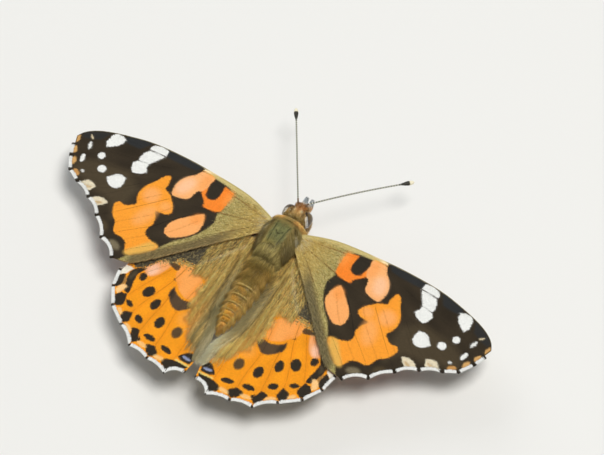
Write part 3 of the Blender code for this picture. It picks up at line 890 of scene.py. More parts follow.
def feeler_tone(share, angle):
    """White rings on black, paler below, with a cream tip and brown root joints."""
    bead = (share * BEADS * 1.014) % 1.0
    ring = fade(bead, 0.0, 0.1) * (1 - fade(bead, 0.5, 0.62))
    ring = ring * (1 - fade(share, CLUB_START - 0.04, CLUB_START))
    under = fade(-np.sin(angle * tau), -0.2, 0.6)
    ring = np.clip(ring + 0.5 * under * (1 - fade(share, CLUB_START, CLUB_START + 0.03)), 0, 1)
    tone = laid(seen(FEELER_BLACK), FEELER_WHITE, ring)
    tone = laid(tone, CLUB_CREAM, fade(share, 0.948, 0.958))
    return laid(tone, FEELER_ROOT, (1 - fade(share, 0.012, 0.03)) * 0.9)


feeler_finish = marked_finish("feeler_scales", 0.5, 0.05, 0.3)
for name, side in SIDES.items():
    feeler = tube_piece("feeler_" + name, antenna_line(ANTENNA_TIPS[name]), side, 14, feeler_tone,
                        feeler_finish)
    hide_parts("antenna_" + name)

# ------------------------------------------------------------
# Legs. Four walking legs: a furry thigh, a slimmer spined shin and five small foot joints that end in
# a pair of claws. The front pair is small, furry and folded up under the thorax like a brush.

FOOT_UP = -WING_ROOTS_Z + 0.155   # the middle of the foot joints, resting on the floor
LEGS = {
    "midleg": dict(hip=(1.0, -0.7, -3.2), thigh=(2.1, -0.4, -4.4), knee=(5.8, 1.0, -2.95),
                   ankle=(9.0, 2.95, -7.1), foot=(11.5, 4.1, FOOT_UP)),
    "hindleg": dict(hip=(1.0, -3.3, -3.2), thigh=(2.1, -3.8, -4.4), knee=(5.55, -6.8, -3.2),
                    ankle=(7.5, -10.7, -7.1), foot=(8.5, -13.2, FOOT_UP)),
}
FOOT_JOINTS, FOOT_RADIUS = 5, 0.12
LEG_TAN, LEG_BROWN, LEG_CREAM = (186, 158, 112), (104, 80, 52), (226, 208, 170)
FORELEG_LINE = [(0.9, 1.2, -3.4, 0.22), (1.1, 1.9, -3.95, 0.27), (1.3, 2.9, -3.85, 0.24),
                (1.3, 3.7, -3.6, 0.2), (1.25, 4.2, -3.35, 0.12)]      # out, ahead, up, radius


def leg_line(leg):
    """Thigh, shin and foot with their swellings; joints are narrow."""
    hip, thigh, knee, ankle, foot = (np.array(leg[joint], float)
                                     for joint in ("hip", "thigh", "knee", "ankle", "foot"))
    ankle_low = np.array([ankle[0], ankle[1], FOOT_UP])
    shin_end = ankle * (1, 1, 0) + (0, 0, FOOT_UP + 0.25)
    stretches = [(hip, thigh, 0.26, 0.24, 5), (thigh, knee, 0.27, 0.17, 14),
                 (knee, shin_end, 0.15, 0.11, 14)]
    rows = []
    for start, end, thick, thin, steps in stretches:
        t = np.linspace(0, 1, steps)
        radius = thick + (thin - thick) * t
        radius *= 1 - 0.28 * np.exp(-((1 - t) / 0.05) ** 2) - 0.18 * np.exp(-(t / 0.06) ** 2)
        rows.append(np.column_stack([start + (end - start) * t[:, None], radius]))
    t = np.linspace(0.03, 1, FOOT_JOINTS * 6)
    radius = FOOT_RADIUS * (0.82 + 0.25 * ((t * FOOT_JOINTS) % 1.0))
    rows.append(np.column_stack([ankle_low + (foot - ankle_low) * t[:, None], radius]))
    return np.concatenate(rows)


def leg_tone(share, angle):
    """Tan with faint brown bands, cream below and darker on the foot."""
    banded = 0.5 + 0.5 * np.sin(share * 95)
    tone = laid(seen(LEG_TAN), LEG_BROWN, 0.3 * banded)
    tone = laid(tone, LEG_CREAM, 0.6 * fade(-np.sin(angle * tau), 0.1, 0.8))
    return tone * (1 - 0.35 * fade(share, 0.52, 0.6)[:, None])


def spike(root, way, length, width):
    """One stiff spine or claw as a lock of its own."""
    over = unit(np.cross(way, (0.3, 0.2, 1.0)))
    way = unit(np.asarray(way, float))
    return locks(np.array([root]), np.array([way]), np.array([over]), length, width, 0.0, 0.35)


leg_finish = marked_finish("leg_scales", 0.6, 0.12, 0.3, sheen=0.15)
for kind, leg in LEGS.items():
    line = leg_line(leg)
    for name, side in SIDES.items():
        node = kind + "_" + name
        limb = tube_piece(node + "_skin", line, side, 14, leg_tone, leg_finish)
        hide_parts(node)
        tube_fur(node + "_fur", line, side, 51, 900, 0.24, 0.05, 0.22, leg_tone, leg_finish,
                 share_span=(0.03, 0.66))
        knee, ankle, foot = (np.array(leg[k]) for k in ("knee", "ankle", "foot"))
        spines = []
        for share in np.linspace(0.15, 0.95, 9):
            for lean in (-1, 1):
                way = unit(ankle - knee) + np.array([0.25, 0.5, 0]) * lean
                spines.append(spike(knee + (ankle - knee) * share, way, 0.42, 0.05))
        heading = unit((foot - ankle) * (1, 1, 0))
        beside = np.array([-heading[1], heading[0], 0])
        for lean in (-1, 1):
            for share in np.linspace(0.2, 0.95, 6):
                way = heading + beside * lean * 0.8 + (0, 0, -0.1)
                root = np.array([*(ankle + (foot - ankle) * share)[:2], FOOT_UP])
                spines.append(spike(root, way, 0.2, 0.04))
            way = heading + beside * lean * 0.45 + (0, 0, 0.25)
            spines.append(spike(foot - heading * 0.03, way, 0.26, 0.06))
        spines = np.concatenate(spines)
        spines[..., 2] = np.maximum(spines[..., 2], ON_FLOOR)
        tones = np.tile(seen(LEG_BROWN) * 0.5, (len(spines), 1))
        spots = np.column_stack([np.full(len(spines), 0.5), np.linspace(0.1, 0.9, len(spines))])
        claws = coat_piece(node + "_spines", spines, LOCK, tones, spots, horn_finish,
                           lambda at: place(at, side))
        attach(claws, "root")

for name, side in SIDES.items():
    line = smooth_through(FORELEG_LINE, 6)
    brush = tube_piece("foreleg_skin_" + name, line, side, 12, leg_tone, leg_finish)
    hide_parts("foreleg_" + name)
    tube_fur("foreleg_fur_" + name, line, side, 61, 900, 0.45, 0.05, 0.4, leg_tone, leg_finish)

# ------------------------------------------------------------
# Hindwings. Each is a clear membrane stiffened by veins and shingled on both faces with flat coloured
# scales, with a white fringe and long hair on its inner third. They hinge under the forewings, and
# their inner edges fold down beside the abdomen.

HINDWING_TURN = radians(0.62)     # the pair is turned a little about the wing-root line
HINDWING_UNDER = 0.6              # below the forewings' roots
WING_DROOP = 0.034                # fall for each millimetre outwards
MEMBRANE = 0.08
WING_GRID = 0.34                  # spacing of the membrane's corners
FRINGE = 0.6                      # length of the fringe, which ends at the wing's outline
VEIN, VEIN_SIDES = 0.06, 6        # radius of the veins, and corners round them
MEMBRANE_SHADE = 0.95             # the membrane between the scales is a little darker than they are
WING_MAP, WING_MAP_REAR = 33, -26 # millimetres over the unwrap, and where it starts behind

HINDWING_COSTA = [(1.3, -0.9), (3.1, -1.4), (6.0, -2.9), (10.0, -6.3), (13.6, -10.6), (15.6, -13.4)]
HINDWING_VEIN_ENDS = [(16.1, -14.7), (15.6, -17.25), (14.1, -19.8), (11.65, -21.67), (9.1, -23.85),
                      (6.1, -24.4), (3.0, -25.2), (0.75, -23.9)]
HINDWING_BAYS = [0.0, 0.0, 0.0, 0.3, 0.27, 0.3, 0.5]
HINDWING_INNER = [(0.45, -22.4), (0.35, -18.4), (0.7, -16.8), (1.55, -14.2), (2.0, -11.5), (2.05, -8.5),
                  (2.1, -6.3), (1.6, -4.8), (1.3, -2.8)]
FOLD_DROP = 0.9
FOLD_OUT, FOLD_AHEAD = (2.0, 4.4), (-19.5, -15.0)

HINDWING_VEINS = [
    [(3.0, -3.0), (8.0, -6.5), (13.5, -12.2), (16.0, -14.6)],
    [(3.0, -3.6), (7.5, -7.8), (12.5, -13.4), (15.4, -17.1)],
    [(7.5, -7.8), (9.6, -11.0), (11.8, -15.0), (13.9, -19.5)],
    [(8.3, -10.2), (9.0, -13.2), (10.8, -18.0), (11.5, -21.4)],
    [(8.2, -13.0), (8.2, -16.0), (8.7, -19.5), (9.0, -23.5)],
    [(5.6, -12.0), (6.2, -16.5), (6.0, -20.0), (6.1, -24.1)],
    [(3.6, -9.0), (4.0, -14.0), (2.9, -19.0), (3.0, -24.9)],
    [(2.6, -6.0), (2.4, -14.0), (1.3, -19.0), (0.9, -23.6)],
]

HINDWING_FOCUS = (1, -1)          # the scales lie away from this place

# Upper face: the warm ground, its dark and pale marks, then the hair.
ORANGE, VEIN_ORANGE, APRICOT = (247, 158, 28), (232, 138, 24), (255, 176, 84)
SALMON, BLUSH, SHELL = (252, 170, 90), (255, 190, 140), (255, 222, 200)
SOOT, WARM_SOOT, SMOKE = (50, 43, 33), (66, 60, 50), (94, 82, 60)
DEEP_BROWN, DUN, UMBER = (56, 50, 40), (68, 60, 44), (136, 112, 70)
WHITE, IVORY, CREAM, BUFF = (239, 240, 236), (240, 234, 216), (250, 204, 134), (252, 206, 140)
LILAC, PALE_GOLD, GOLD = (150, 160, 192), (240, 214, 120), (190, 160, 84)
HAIRY_SPECKS = [(176, 150, 84), GOLD, (206, 172, 104), (158, 126, 68), (112, 94, 58)]
SHADOW_SPECKS = [(74, 68, 54), (84, 78, 62), (64, 58, 46), (128, 114, 78)]
HAIR_GOLD, HAIR_BROWN, HAIR_STRAW = (194, 160, 88), (120, 98, 58), (212, 186, 124)
HAIR_GREY, HAIR_SILVER, LEFT_FOLD_SHADE = (160, 150, 110), (198, 190, 160), (116, 108, 74)
HAIR_PEPPER, HAIR_RUST = (72, 62, 42), (226, 154, 72)
HAIR_FOLD_SHADE, WISP_CREAM = (84, 68, 40), (222, 188, 140)

# Under face: marbled sand, brown and cream.
SAND, MARBLE_BROWN, MARBLE_CREAM = (196, 172, 130), (122, 104, 66), (236, 228, 208)
UNDER_VEIN, UNDER_BAND, UNDER_LINE = (238, 230, 208), (214, 196, 160), (150, 158, 160)
EYE_MARK_YELLOW, EYE_MARK_BLUE = (226, 190, 84), (120, 150, 172)


def scalloped(vein_ends, bays, steps):
    """The outer margin: a shallow bay between each vein end and the next."""
    margin = []
    t = (np.arange(steps) / steps)[:, None]
    for start, end, depth in zip(np.array(vein_ends), np.array(vein_ends[1:]), bays):
        along = (end - start) / np.linalg.norm(end - start)
        inward = np.array((along[1], -along[0]))
        margin.append(start + (end - start) * t + inward * depth * 4 * t * (1 - t))
    return np.concatenate(margin + [np.array(vein_ends[-1:])])


def blob(*points):
    """A closed mark with a smooth edge through the points."""
    return smooth_through([points[-1], *points, points[0]], 4)[4:-5]


def patch(*points):
    """A closed mark with straight edges."""
    return np.array(points, float)


def oval(out, ahead, half_out, half_ahead, lean=0.0):
    """An oval mark, leaned by degrees."""
    turn = np.arange(16) * tau / 16
    x, y = half_out * np.cos(turn), half_ahead * np.sin(turn)
    c, s = cos(radians(lean)), sin(radians(lean))
    return np.stack([out + x * c - y * s, ahead + x * s + y * c], -1)


def reach_to(at, line):
    """Distance from each place to the nearest stretch of a line."""
    start, run = line[:-1], np.diff(line, axis=0)
    reach = at[:, None] - start[None]
    share = np.clip((reach * run).sum(-1) / np.maximum((run ** 2).sum(-1), 1e-9), 0, 1)
    return np.linalg.norm(reach - share[..., None] * run, axis=-1).min(1)


def depth_in(at, loop):
    """How deep each place lies inside a closed loop; negative outside."""
    depth = np.full(len(at), -9.0)
    near = ((at > loop.min(0) - 0.8) & (at < loop.max(0) + 0.8)).all(1)
    spot = at[near]
    closed = np.concatenate([loop, loop[:1]])
    (x0, y0), (x1, y1) = closed[:-1].T, closed[1:].T
    straddles = (y0 > spot[:, 1:]) != (y1 > spot[:, 1:])
    crossing = x0 + (spot[:, 1:] - y0) * (x1 - x0) / np.where(y1 == y0, 1e-9, y1 - y0)
    inside = (straddles & (spot[:, :1] < crossing)).sum(1) % 2 == 1
    depth[near] = np.where(inside, 1, -1) * reach_to(spot, closed)
    return depth


def frayed(at, focus, draw, ragged):
    """Places shifted at random, mostly along the lie of the scales, so that the marks' edges fray."""
    if not ragged:
        return at
    lie = unit(at - np.array(focus))
    beside = np.stack([-lie[:, 1], lie[:, 0]], -1)
    shift = draw.normal(scale=ragged, size=(len(at), 2))
    return at + lie * shift[:, :1] * 2.2 + beside * shift[:, 1:]


def alike(tone, soft, strength, *loops):
    """Marks that share a colour, a softness and a strength."""
    return [(tone, loop, soft, strength) for loop in loops]


def lay_marks(colours, at, marks):
    """Lay marks (colour, loop, softness, strength) one after another."""
    for tone, loop, soft, strength in marks:
        colours = laid(colours, tone, fade(depth_in(at, loop), -soft, soft) * strength)
    return colours


def speckled(colours, share, palette, draw):
    """Give scales by chance one of a palette's colours, as far as the share goes."""
    picked = draw.uniform(size=len(colours)) < share
    tones = np.array([seen(tone) for tone in palette])
    colours[picked] = tones[draw.integers(len(palette), size=picked.sum())]
    return colours


def inset(line, width):
    """An outline's stretch moved inwards; outlines run clockwise seen from above on the left wing."""
    along = unit(np.gradient(line, axis=0))
    return line + np.stack([along[:, 1], -along[:, 0]], -1) * width


def staggered(outline, pitch, row_pitch):
    """Places in staggered rows over an outline's box."""
    low, high = outline.min(0), outline.max(0)
    rows = np.arange(low[1], high[1], row_pitch)
    return np.array([(out + pitch / 2 * (i % 2), row) for i, row in enumerate(rows)
                     for out in np.arange(low[0], high[0], pitch)])


def wing_sheet(outline):
    """Corners and triangles of a flat wing: a fine staggered grid inside its outline."""
    grid = staggered(outline, WING_GRID, WING_GRID * 0.866)
    grid = grid[depth_in(grid, outline) > WING_GRID * 0.5]
    flat = [Vector(p) for p in np.concatenate([outline, grid]).tolist()]
    rim = len(outline)
    edges = [(i, (i + 1) % rim) for i in range(rim)]
    points, _, faces, _, _, _ = delaunay_2d_cdt(flat, edges, [], 1, 1e-6)
    return np.array(points), np.array(faces), rim


def wing_place(at, side, turn):
    """A place on a wing, in insect terms before the pair of wings is turned, to metres."""
    across = side * at[:, 0] * cos(turn) + at[:, 1] * sin(turn)
    along = at[:, 1] * cos(turn) - side * at[:, 0] * sin(turn)
    return place(np.stack([across, along, at[:, 2]], -1))


def wing_spots(at):
    """The wing's unwrap: its own plane, out to the right and ahead upwards."""
    return np.stack([0.02 + at[:, 0] / WING_MAP, 0.02 + (at[:, 1] - WING_MAP_REAR) / WING_MAP], -1)


def veins_relief(at, veins):
    """Low ridges over the veins and a slight billow between them."""
    gap = np.full(len(at), 9.0)
    for vein in veins:
        gap = np.minimum(gap, reach_to(at, np.array(vein)))
    return 0.05 * np.exp(-(gap / 0.14) ** 2) + 0.07 * fade(gap, 0.0, 1.0) - 0.05


def wing_pieces(side_name, wing):
    """Membrane, scales of both faces, veins and fringe of one wing."""
    side, kind, turn, level = SIDES[side_name], wing["kind"], wing["turn"], wing["level"]
    points, faces, rim = wing["sheet"]
    thick = MEMBRANE / 2
    heights = level(points)
    count = len(points)
    corners = np.concatenate([np.column_stack([points, heights + thick]),
                              np.column_stack([points, heights - thick])])
    ring = np.arange(rim)
    after = (ring + 1) % rim
    edge = np.concatenate([np.stack([ring, ring + count, after], -1),
                           np.stack([after, ring + count, after + count], -1)])
    triangles = np.concatenate([faces, faces[:, ::-1] + count, edge])
    colours = np.concatenate([wing[face](points, np.random.default_rng(1), 0.0)
                              for face in ("upper", "under")]) * MEMBRANE_SHADE
    spots = wing_spots(points) * (0.5, 1)
    spots = np.concatenate([spots, spots + (0.5, 0)])
    membrane = make_piece(f"{kind}_membrane_{side_name}", wing_place(corners, side, turn), triangles,
                          colours, spots, wing_finish)
    membrane.data.shade_smooth()
    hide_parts(f"{kind}_{side_name}")
    made = [membrane]
    for layer in ("upper_scales", "under_scales", "fringe"):
        scales, tones, spots = wing[layer]
        made.append(coat_piece(f"{kind}_{layer}_{side_name}", scales, SCALE, tones, spots, wing_finish,
                               lambda at: wing_place(at, side, turn)))
    corners, triangles, tones = [], [], []
    for line, colours in wing["veins"]:
        triangles.append(tube_faces(len(line), VEIN_SIDES) + sum(map(len, corners)))
        corners.append(tube_points(line, VEIN_SIDES))
        tones.append(np.repeat(colours, VEIN_SIDES, 0))
    corners, triangles, tones = (np.concatenate(parts) for parts in (corners, triangles, tones))
    veins = make_piece(f"{kind}_veins_{side_name}", wing_place(corners, side, turn), triangles, tones,
                       wing_spots(corners), wing_finish)
    veins.data.shade_smooth()
    made.append(veins)
    for piece in made:
        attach(piece, "root")


SCALE_LENGTH, SCALE_WIDTH, SCALE_RISE = 0.21, 0.17, 0.014
FRINGE_PITCH = 0.013              # margin for each scale of the fringe
# Painted shade on each scale: its root and the corner under it are darker than its broad end.
SCALE = (np.array([(0, 1, 2), (0, 2, 3), (0, 4, 1), (1, 4, 2), (2, 4, 3), (3, 4, 0)]),
         (0.9, 1.0, 1.03, 1.0, 0.9), False)
SCALE_CORNERS = ((0, 0, 0), (0.66, -0.5, 0.8), (1, 0, 1), (0.66, 0.5, 0.8), (0.6, 0, 0.1))


def flakes(roots, lie, beside, over, length, width, rise):
    """Flat closed flakes, broad before their rounded tips; five corners each."""
    length, width = length[:, None], width[:, None]
    corners = np.empty((len(roots), 5, 3))
    for k, (forward, sideways, upward) in enumerate(SCALE_CORNERS):
        corners[:, k] = roots + lie * length * forward + beside * width * sideways + over * rise * upward
    return corners


def wing_scales(outline, focus, level, pattern, seed, pitch, face):
    """Overlapping fan-shaped scales in staggered rows, with their broad ends away from the wing's base."""
    draw = np.random.default_rng(seed)
    grid = staggered(outline, pitch, pitch * 1.2)
    grid += draw.uniform(-0.3, 0.3, grid.shape) * pitch
    grid = grid[depth_in(grid, outline) > (0.08 if face > 0 else 0.22)]
    n = len(grid)
    lie = unit(grid - np.array(focus))
    # Where a scale would reach past the outline, it is drawn back so that it ends at the edge.
    grid -= lie * (depth_in(grid + lie * SCALE_LENGTH, outline) < 0.03)[:, None] * SCALE_LENGTH * 0.85
    turn = draw.normal(scale=0.12, size=n)
    lie = np.stack([lie[:, 0] * np.cos(turn) - lie[:, 1] * np.sin(turn),
                    lie[:, 0] * np.sin(turn) + lie[:, 1] * np.cos(turn)], -1)
    beside = np.stack([-lie[:, 1], lie[:, 0]], -1)
    length = SCALE_LENGTH * draw.uniform(0.8, 1.15, n)
    width = SCALE_WIDTH * draw.uniform(0.85, 1.15, n)
    base = level(grid) + face * (MEMBRANE / 2 + draw.uniform(0, SCALE_RISE, n))
    flat = np.zeros((n, 1))
    corners = flakes(np.column_stack([grid, base]), np.hstack([lie, flat]), np.hstack([beside, flat]),
                     np.array((0, 0, face)), length, width, SCALE_RISE)
    tones = pattern(grid + lie * 0.1, draw, 0.015) * draw.uniform(0.93, 1.07, (n, 1))
    return corners, tones, wing_spots(grid)


def margin_fringe(margin, level, tone_at, seed):
    """Dense hair scales that stand out from the outer margin up to the outline."""
    draw = np.random.default_rng(seed)
    run = np.concatenate([[0], np.cumsum(np.linalg.norm(np.diff(margin, axis=0), axis=1))])
    count = int(run[-1] / FRINGE_PITCH)
    at = np.sort(draw.uniform(0, run[-1], count))
    spot = np.stack([np.interp(at, run, margin[:, 0]), np.interp(at, run, margin[:, 1])], -1)
    along = unit(np.gradient(margin, axis=0))
    outward = np.stack([np.interp(at, run, -along[:, 1]), np.interp(at, run, along[:, 0])], -1)
    outward = unit(outward + draw.normal(scale=0.08, size=outward.shape))
    beside = np.column_stack([-outward[:, 1], outward[:, 0], np.zeros(count)])
    length = FRINGE * draw.uniform(0.92, 1.0, count)
    width = draw.uniform(0.1, 0.15, count)
    roots = np.column_stack([spot - outward * FRINGE * 1.02, level(spot) + draw.uniform(-0.04, 0.06, count)])
    lie = np.column_stack([outward, draw.normal(scale=0.05, size=count)])
    corners = flakes(roots, unit(lie), beside, np.array((0, 0, 1.0)), length, width, 0.015)
    return corners, tone_at(spot, draw), wing_spots(roots)


def wing_veins(veins, level, pattern, darken):
    """Round veins half sunk in the membrane, thinner towards the margin, each with a darkening."""
    made = []
    for vein, share in zip(veins, darken):
        line = smooth_through(vein, 22)
        root = 0.3 + 0.7 * fade(np.linspace(0, 1, len(line)), 0, 0.1)
        radius = np.linspace(VEIN, VEIN * 0.75, len(line)) * root
        tones = pattern(line, np.random.default_rng(2), 0.0) * share
        made.append((np.column_stack([line, level(line) + 0.015, radius]), tones))
    return made


def hindwing_level(at):
    """The surface's height over the plan, with the fold beside the abdomen."""
    fold = (1 - fade(at[:, 0], *FOLD_OUT)) * fade(at[:, 1], *FOLD_AHEAD)
    return -HINDWING_UNDER - WING_DROOP * at[:, 0] - FOLD_DROP * fold + veins_relief(at, HINDWING_VEINS)


HINDWING_MARKS_AHEAD = 0.15       # the marks sit this much further ahead than their places say
HINDWING_ORANGE_MARKS = [
    (SALMON, blob((8.0, -10.1), (8.9, -10.3), (9.2, -11.2), (8.9, -12.5), (8.15, -13.3), (7.3, -14.1),
                  (5.9, -14.6), (5.3, -13.4), (5.2, -12.1), (5.9, -11.1), (7.1, -10.5)), 0.12, 0.95),
    (SALMON, blob((8.6, -9.4), (9.4, -9.4), (9.6, -10.2), (8.9, -10.5)), 0.08, 0.9),
    (BLUSH, blob((10.2, -11.1), (11.4, -11.0), (12.4, -12.1), (13.1, -13.2), (12.6, -13.7), (11.9, -13.9),
                 (11.1, -13.2), (10.6, -12.2)), 0.2, 0.8),
    (SHELL, oval(12.0, -12.9, 0.5, 0.9, 30), 0.4, 0.85),
    (APRICOT, oval(4.6, -17.2, 1.0, 1.0), 0.7, 0.45),
]
HINDWING_DARK_MARKS = [
    (WARM_SOOT, blob((8.3, -13.8), (8.45, -14.9), (7.8, -15.8), (7.0, -16.5), (6.2, -16.6), (5.3, -16.0),
                     (4.85, -15.2), (5.4, -14.8), (6.2, -14.9), (7.2, -14.7), (7.9, -14.2)), 0.1, 0.95),
    (SOOT, oval(8.0, -14.9, 0.35, 0.75, -15), 0.25, 0.75),
    (DEEP_BROWN, blob((9.1, -10.9), (9.9, -10.7), (10.6, -11.1), (10.1, -11.4), (9.4, -11.6),
                      (9.0, -11.3)), 0.08, 0.9),
    (SOOT, oval(8.8, -12.85, 0.28, 0.1, 30), 0.06, 0.8),
    (SOOT, blob((12.9, -13.3), (13.7, -13.5), (14.4, -14.3), (14.4, -15.2), (14.15, -16.2), (13.9, -17.0),
                (13.5, -17.4), (13.0, -17.3), (13.1, -16.4), (13.35, -15.2), (13.4, -14.2)), 0.07, 1.0),
    (SMOKE, oval(13.9, -14.8, 0.3, 0.8, 10), 0.2, 0.5),
    (UMBER, oval(14.45, -16.1, 0.28, 0.7, -12), 0.15, 0.8),
    (SOOT, blob((14.7, -15.2), (15.2, -15.3), (15.7, -16.1), (15.6, -16.9), (15.1, -17.3), (14.6, -16.9),
                (14.5, -16.1)), 0.07, 1.0),
    (DUN, oval(4.55, -19.4, 0.68, 0.88), 0.15, 0.95),
    *alike(SOOT, 0.06, 1.0,
           oval(12.6, -14.4, 0.5, 0.62), oval(10.8, -15.95, 0.7, 0.92, 20),
           oval(9.1, -17.15, 0.58, 0.88, 10), oval(7.25, -19.2, 0.64, 0.88),
           oval(12.1, -18.6, 0.62, 0.36, 25), oval(9.85, -20.0, 0.68, 0.45, 35),
           oval(7.25, -21.65, 0.85, 0.42, 6), oval(4.5, -22.15, 0.85, 0.38, 12),
           blob((13.1, -17.6), (13.9, -17.7), (14.5, -18.6), (14.2, -19.5), (13.5, -19.6), (12.8, -19.2),
                (12.8, -18.3)),
           blob((11.0, -19.6), (12.0, -19.8), (12.2, -20.5), (11.7, -21.3), (10.9, -21.0), (10.8, -20.4)),
           blob((8.9, -21.3), (9.9, -21.4), (9.7, -22.2), (9.2, -23.3), (8.4, -22.9), (8.1, -22.4),
                (8.8, -22.0)),
           blob((5.9, -22.4), (7.0, -22.6), (6.9, -23.2), (6.1, -24.0), (5.2, -23.5), (5.4, -22.9)),
           blob((3.0, -23.0), (4.0, -23.4), (4.1, -24.0), (3.2, -24.9), (2.3, -24.3), (2.2, -23.4))),
    (SOOT, blob((0.5, -21.4), (1.0, -21.1), (1.6, -21.1), (2.3, -21.7), (2.6, -22.3), (1.8, -22.6),
                (0.6, -22.5)), 0.07, 1.0),
    (SOOT, blob((0.7, -22.9), (1.8, -22.9), (2.8, -23.0), (3.0, -23.6), (2.2, -23.9),
                (0.9, -23.6)), 0.07, 1.0),
]
HINDWING_LIGHT_MARKS = [
    (LILAC, oval(1.55, -22.05, 0.62, 0.2, 4), 0.08, 0.9),
    (PALE_GOLD, oval(1.7, -22.85, 1.2, 0.13, 4), 0.06, 0.9),
    *alike(CREAM, 0.12, 0.8,
           oval(4.75, -23.6, 0.75, 0.28), oval(7.6, -22.95, 0.75, 0.28, 8),
           oval(10.4, -21.7, 0.7, 0.28, 35), oval(12.6, -20.1, 0.6, 0.26, 45)),
    (BUFF, blob((13.6, -16.7), (14.2, -16.5), (14.7, -17.1), (14.6, -17.8), (14.0, -17.9)), 0.08, 0.95),
    (IVORY, blob((14.3, -14.0), (15.3, -13.9), (16.1, -15.0), (15.7, -15.6), (15.1, -15.2),
                 (14.7, -14.9)), 0.06, 1.0),
]
HINDWING_SHADOW = blob((3.0, -1.5), (6.6, -3.2), (10.5, -6.6), (14.2, -11.3), (15.3, -13.2), (13.5, -13.6),
                       (12.5, -12.3), (11.4, -11.0), (10.3, -11.0), (10.0, -10.0), (8.9, -9.7), (7.4, -9.9),
                       (6.2, -9.6), (4.0, -5.0))


def hindwing_hairiness(at):
    """How far the olive hair hides the orange: all of the inner third."""
    edge = 5.4 - 2.6 * fade(-at[:, 1], 14.0, 20.5) + 0.25 * np.sin(at[:, 1] * 3.0)
    inner = 1 - fade(at[:, 0], edge - 1.3, edge + 0.3)
    base = 1 - fade(-at[:, 1] - 0.25 * (at[:, 0] - 7.0), 9.6, 10.8)
    return np.maximum(inner * (1 - fade(-at[:, 1], 18.0, 20.8)), base)


def hindwing_upper(at, draw, ragged):
    """Markings of the upper face."""
    at = frayed(at, HINDWING_FOCUS, draw, ragged) - (0.0, HINDWING_MARKS_AHEAD)
    colours = np.tile(seen(ORANGE), (len(at), 1)) * (1 + 0.06 * mottle(at, 1.5, 5)[:, None])
    colours = lay_marks(colours, at, HINDWING_ORANGE_MARKS)
    for vein in HINDWING_VEINS[1:7]:
        near = np.exp(-(reach_to(at, smooth_through(vein, 5)) / 0.4) ** 2)
        colours = laid(colours, VEIN_ORANGE, 0.4 * near)
    colours = speckled(colours, hindwing_hairiness(at) * 0.95, HAIRY_SPECKS, draw)
    colours = speckled(colours, fade(depth_in(at, HINDWING_SHADOW), -0.35, 0.35), SHADOW_SPECKS, draw)
    colours = lay_marks(colours, at, HINDWING_DARK_MARKS)
    return lay_marks(colours, at, HINDWING_LIGHT_MARKS)


UNDER_EYE_MARKS = [(12.5, -15.0), (10.7, -16.6), (9.0, -17.9), (7.2, -19.4), (4.6, -19.8)]


def hindwing_under(at, draw, ragged):
    """Marbled olive, sand and white, with pale veins and a row of small eye marks."""
    at = frayed(at, HINDWING_FOCUS, draw, ragged)
    marble = mottle(at, 1.0, 41) + 0.5 * mottle(at, 0.5, 42)
    colours = laid(np.tile(seen(SAND), (len(at), 1)), MARBLE_BROWN, fade(marble, 0.1, 0.5))
    colours = laid(colours, MARBLE_CREAM, fade(-marble, 0.35, 0.7))
    for vein in HINDWING_VEINS:
        near = np.exp(-(reach_to(at, smooth_through(vein, 5)) / 0.12) ** 2)
        colours = laid(colours, UNDER_VEIN, near * 0.85)
    marks = [(UNDER_BAND, oval(8.6, -18.6, 5.6, 1.3, 28), 0.35, 0.7)]
    for out, ahead in UNDER_EYE_MARKS:
        marks += [(EYE_MARK_YELLOW, oval(out, ahead, 0.75, 0.8), 0.08, 0.95),
                  (SOOT, oval(out, ahead, 0.5, 0.55), 0.06, 0.9),
                  (EYE_MARK_BLUE, oval(out, ahead, 0.24, 0.28), 0.06, 0.9)]
    marks += [(UNDER_LINE, oval(8.4, -21.6, 5.6, 0.25, 22), 0.15, 0.6)]
    return lay_marks(colours, at, marks)


def fringe_tones(vein_ends, white_from):
    """White in the bays and sooty at the vein ends."""
    ends = np.array(vein_ends)

    def tone_at(at, draw):
        gap = np.linalg.norm(at[:, None] - ends[None], axis=-1).min(1) + draw.normal(scale=0.06, size=len(at))
        tones = laid(seen(SOOT), WHITE, fade(gap, white_from - 0.08, white_from + 0.08))
        return tones * draw.uniform(0.85, 1.0, (len(at), 1))
    return tone_at


wing_finish = marked_finish("wing_scales", 0.6, 0.12, 0.15, shine=0.12)
hind_margin = scalloped(HINDWING_VEIN_ENDS, HINDWING_BAYS, 8)
hind_outline = np.concatenate([smooth_through(HINDWING_COSTA, 5)[:-1], inset(hind_margin, FRINGE * 0.8),
                               smooth_through(HINDWING_INNER, 4)[1:]])
hindwing = dict(
    kind="hindwing", turn=HINDWING_TURN, level=hindwing_level, sheet=wing_sheet(hind_outline),
    upper=hindwing_upper, under=hindwing_under,
    upper_scales=wing_scales(hind_outline, HINDWING_FOCUS, hindwing_level, hindwing_upper, 71, 0.112, 1),
    under_scales=wing_scales(hind_outline, HINDWING_FOCUS, hindwing_level, hindwing_under, 72, 0.165, -1),
    fringe=margin_fringe(hind_margin, hindwing_level, fringe_tones(HINDWING_VEIN_ENDS, 0.22), 73),
    veins=wing_veins(HINDWING_VEINS, hindwing_level, hindwing_upper, [0.6] * 8))
for name in SIDES:
    wing_pieces(name, hindwing)


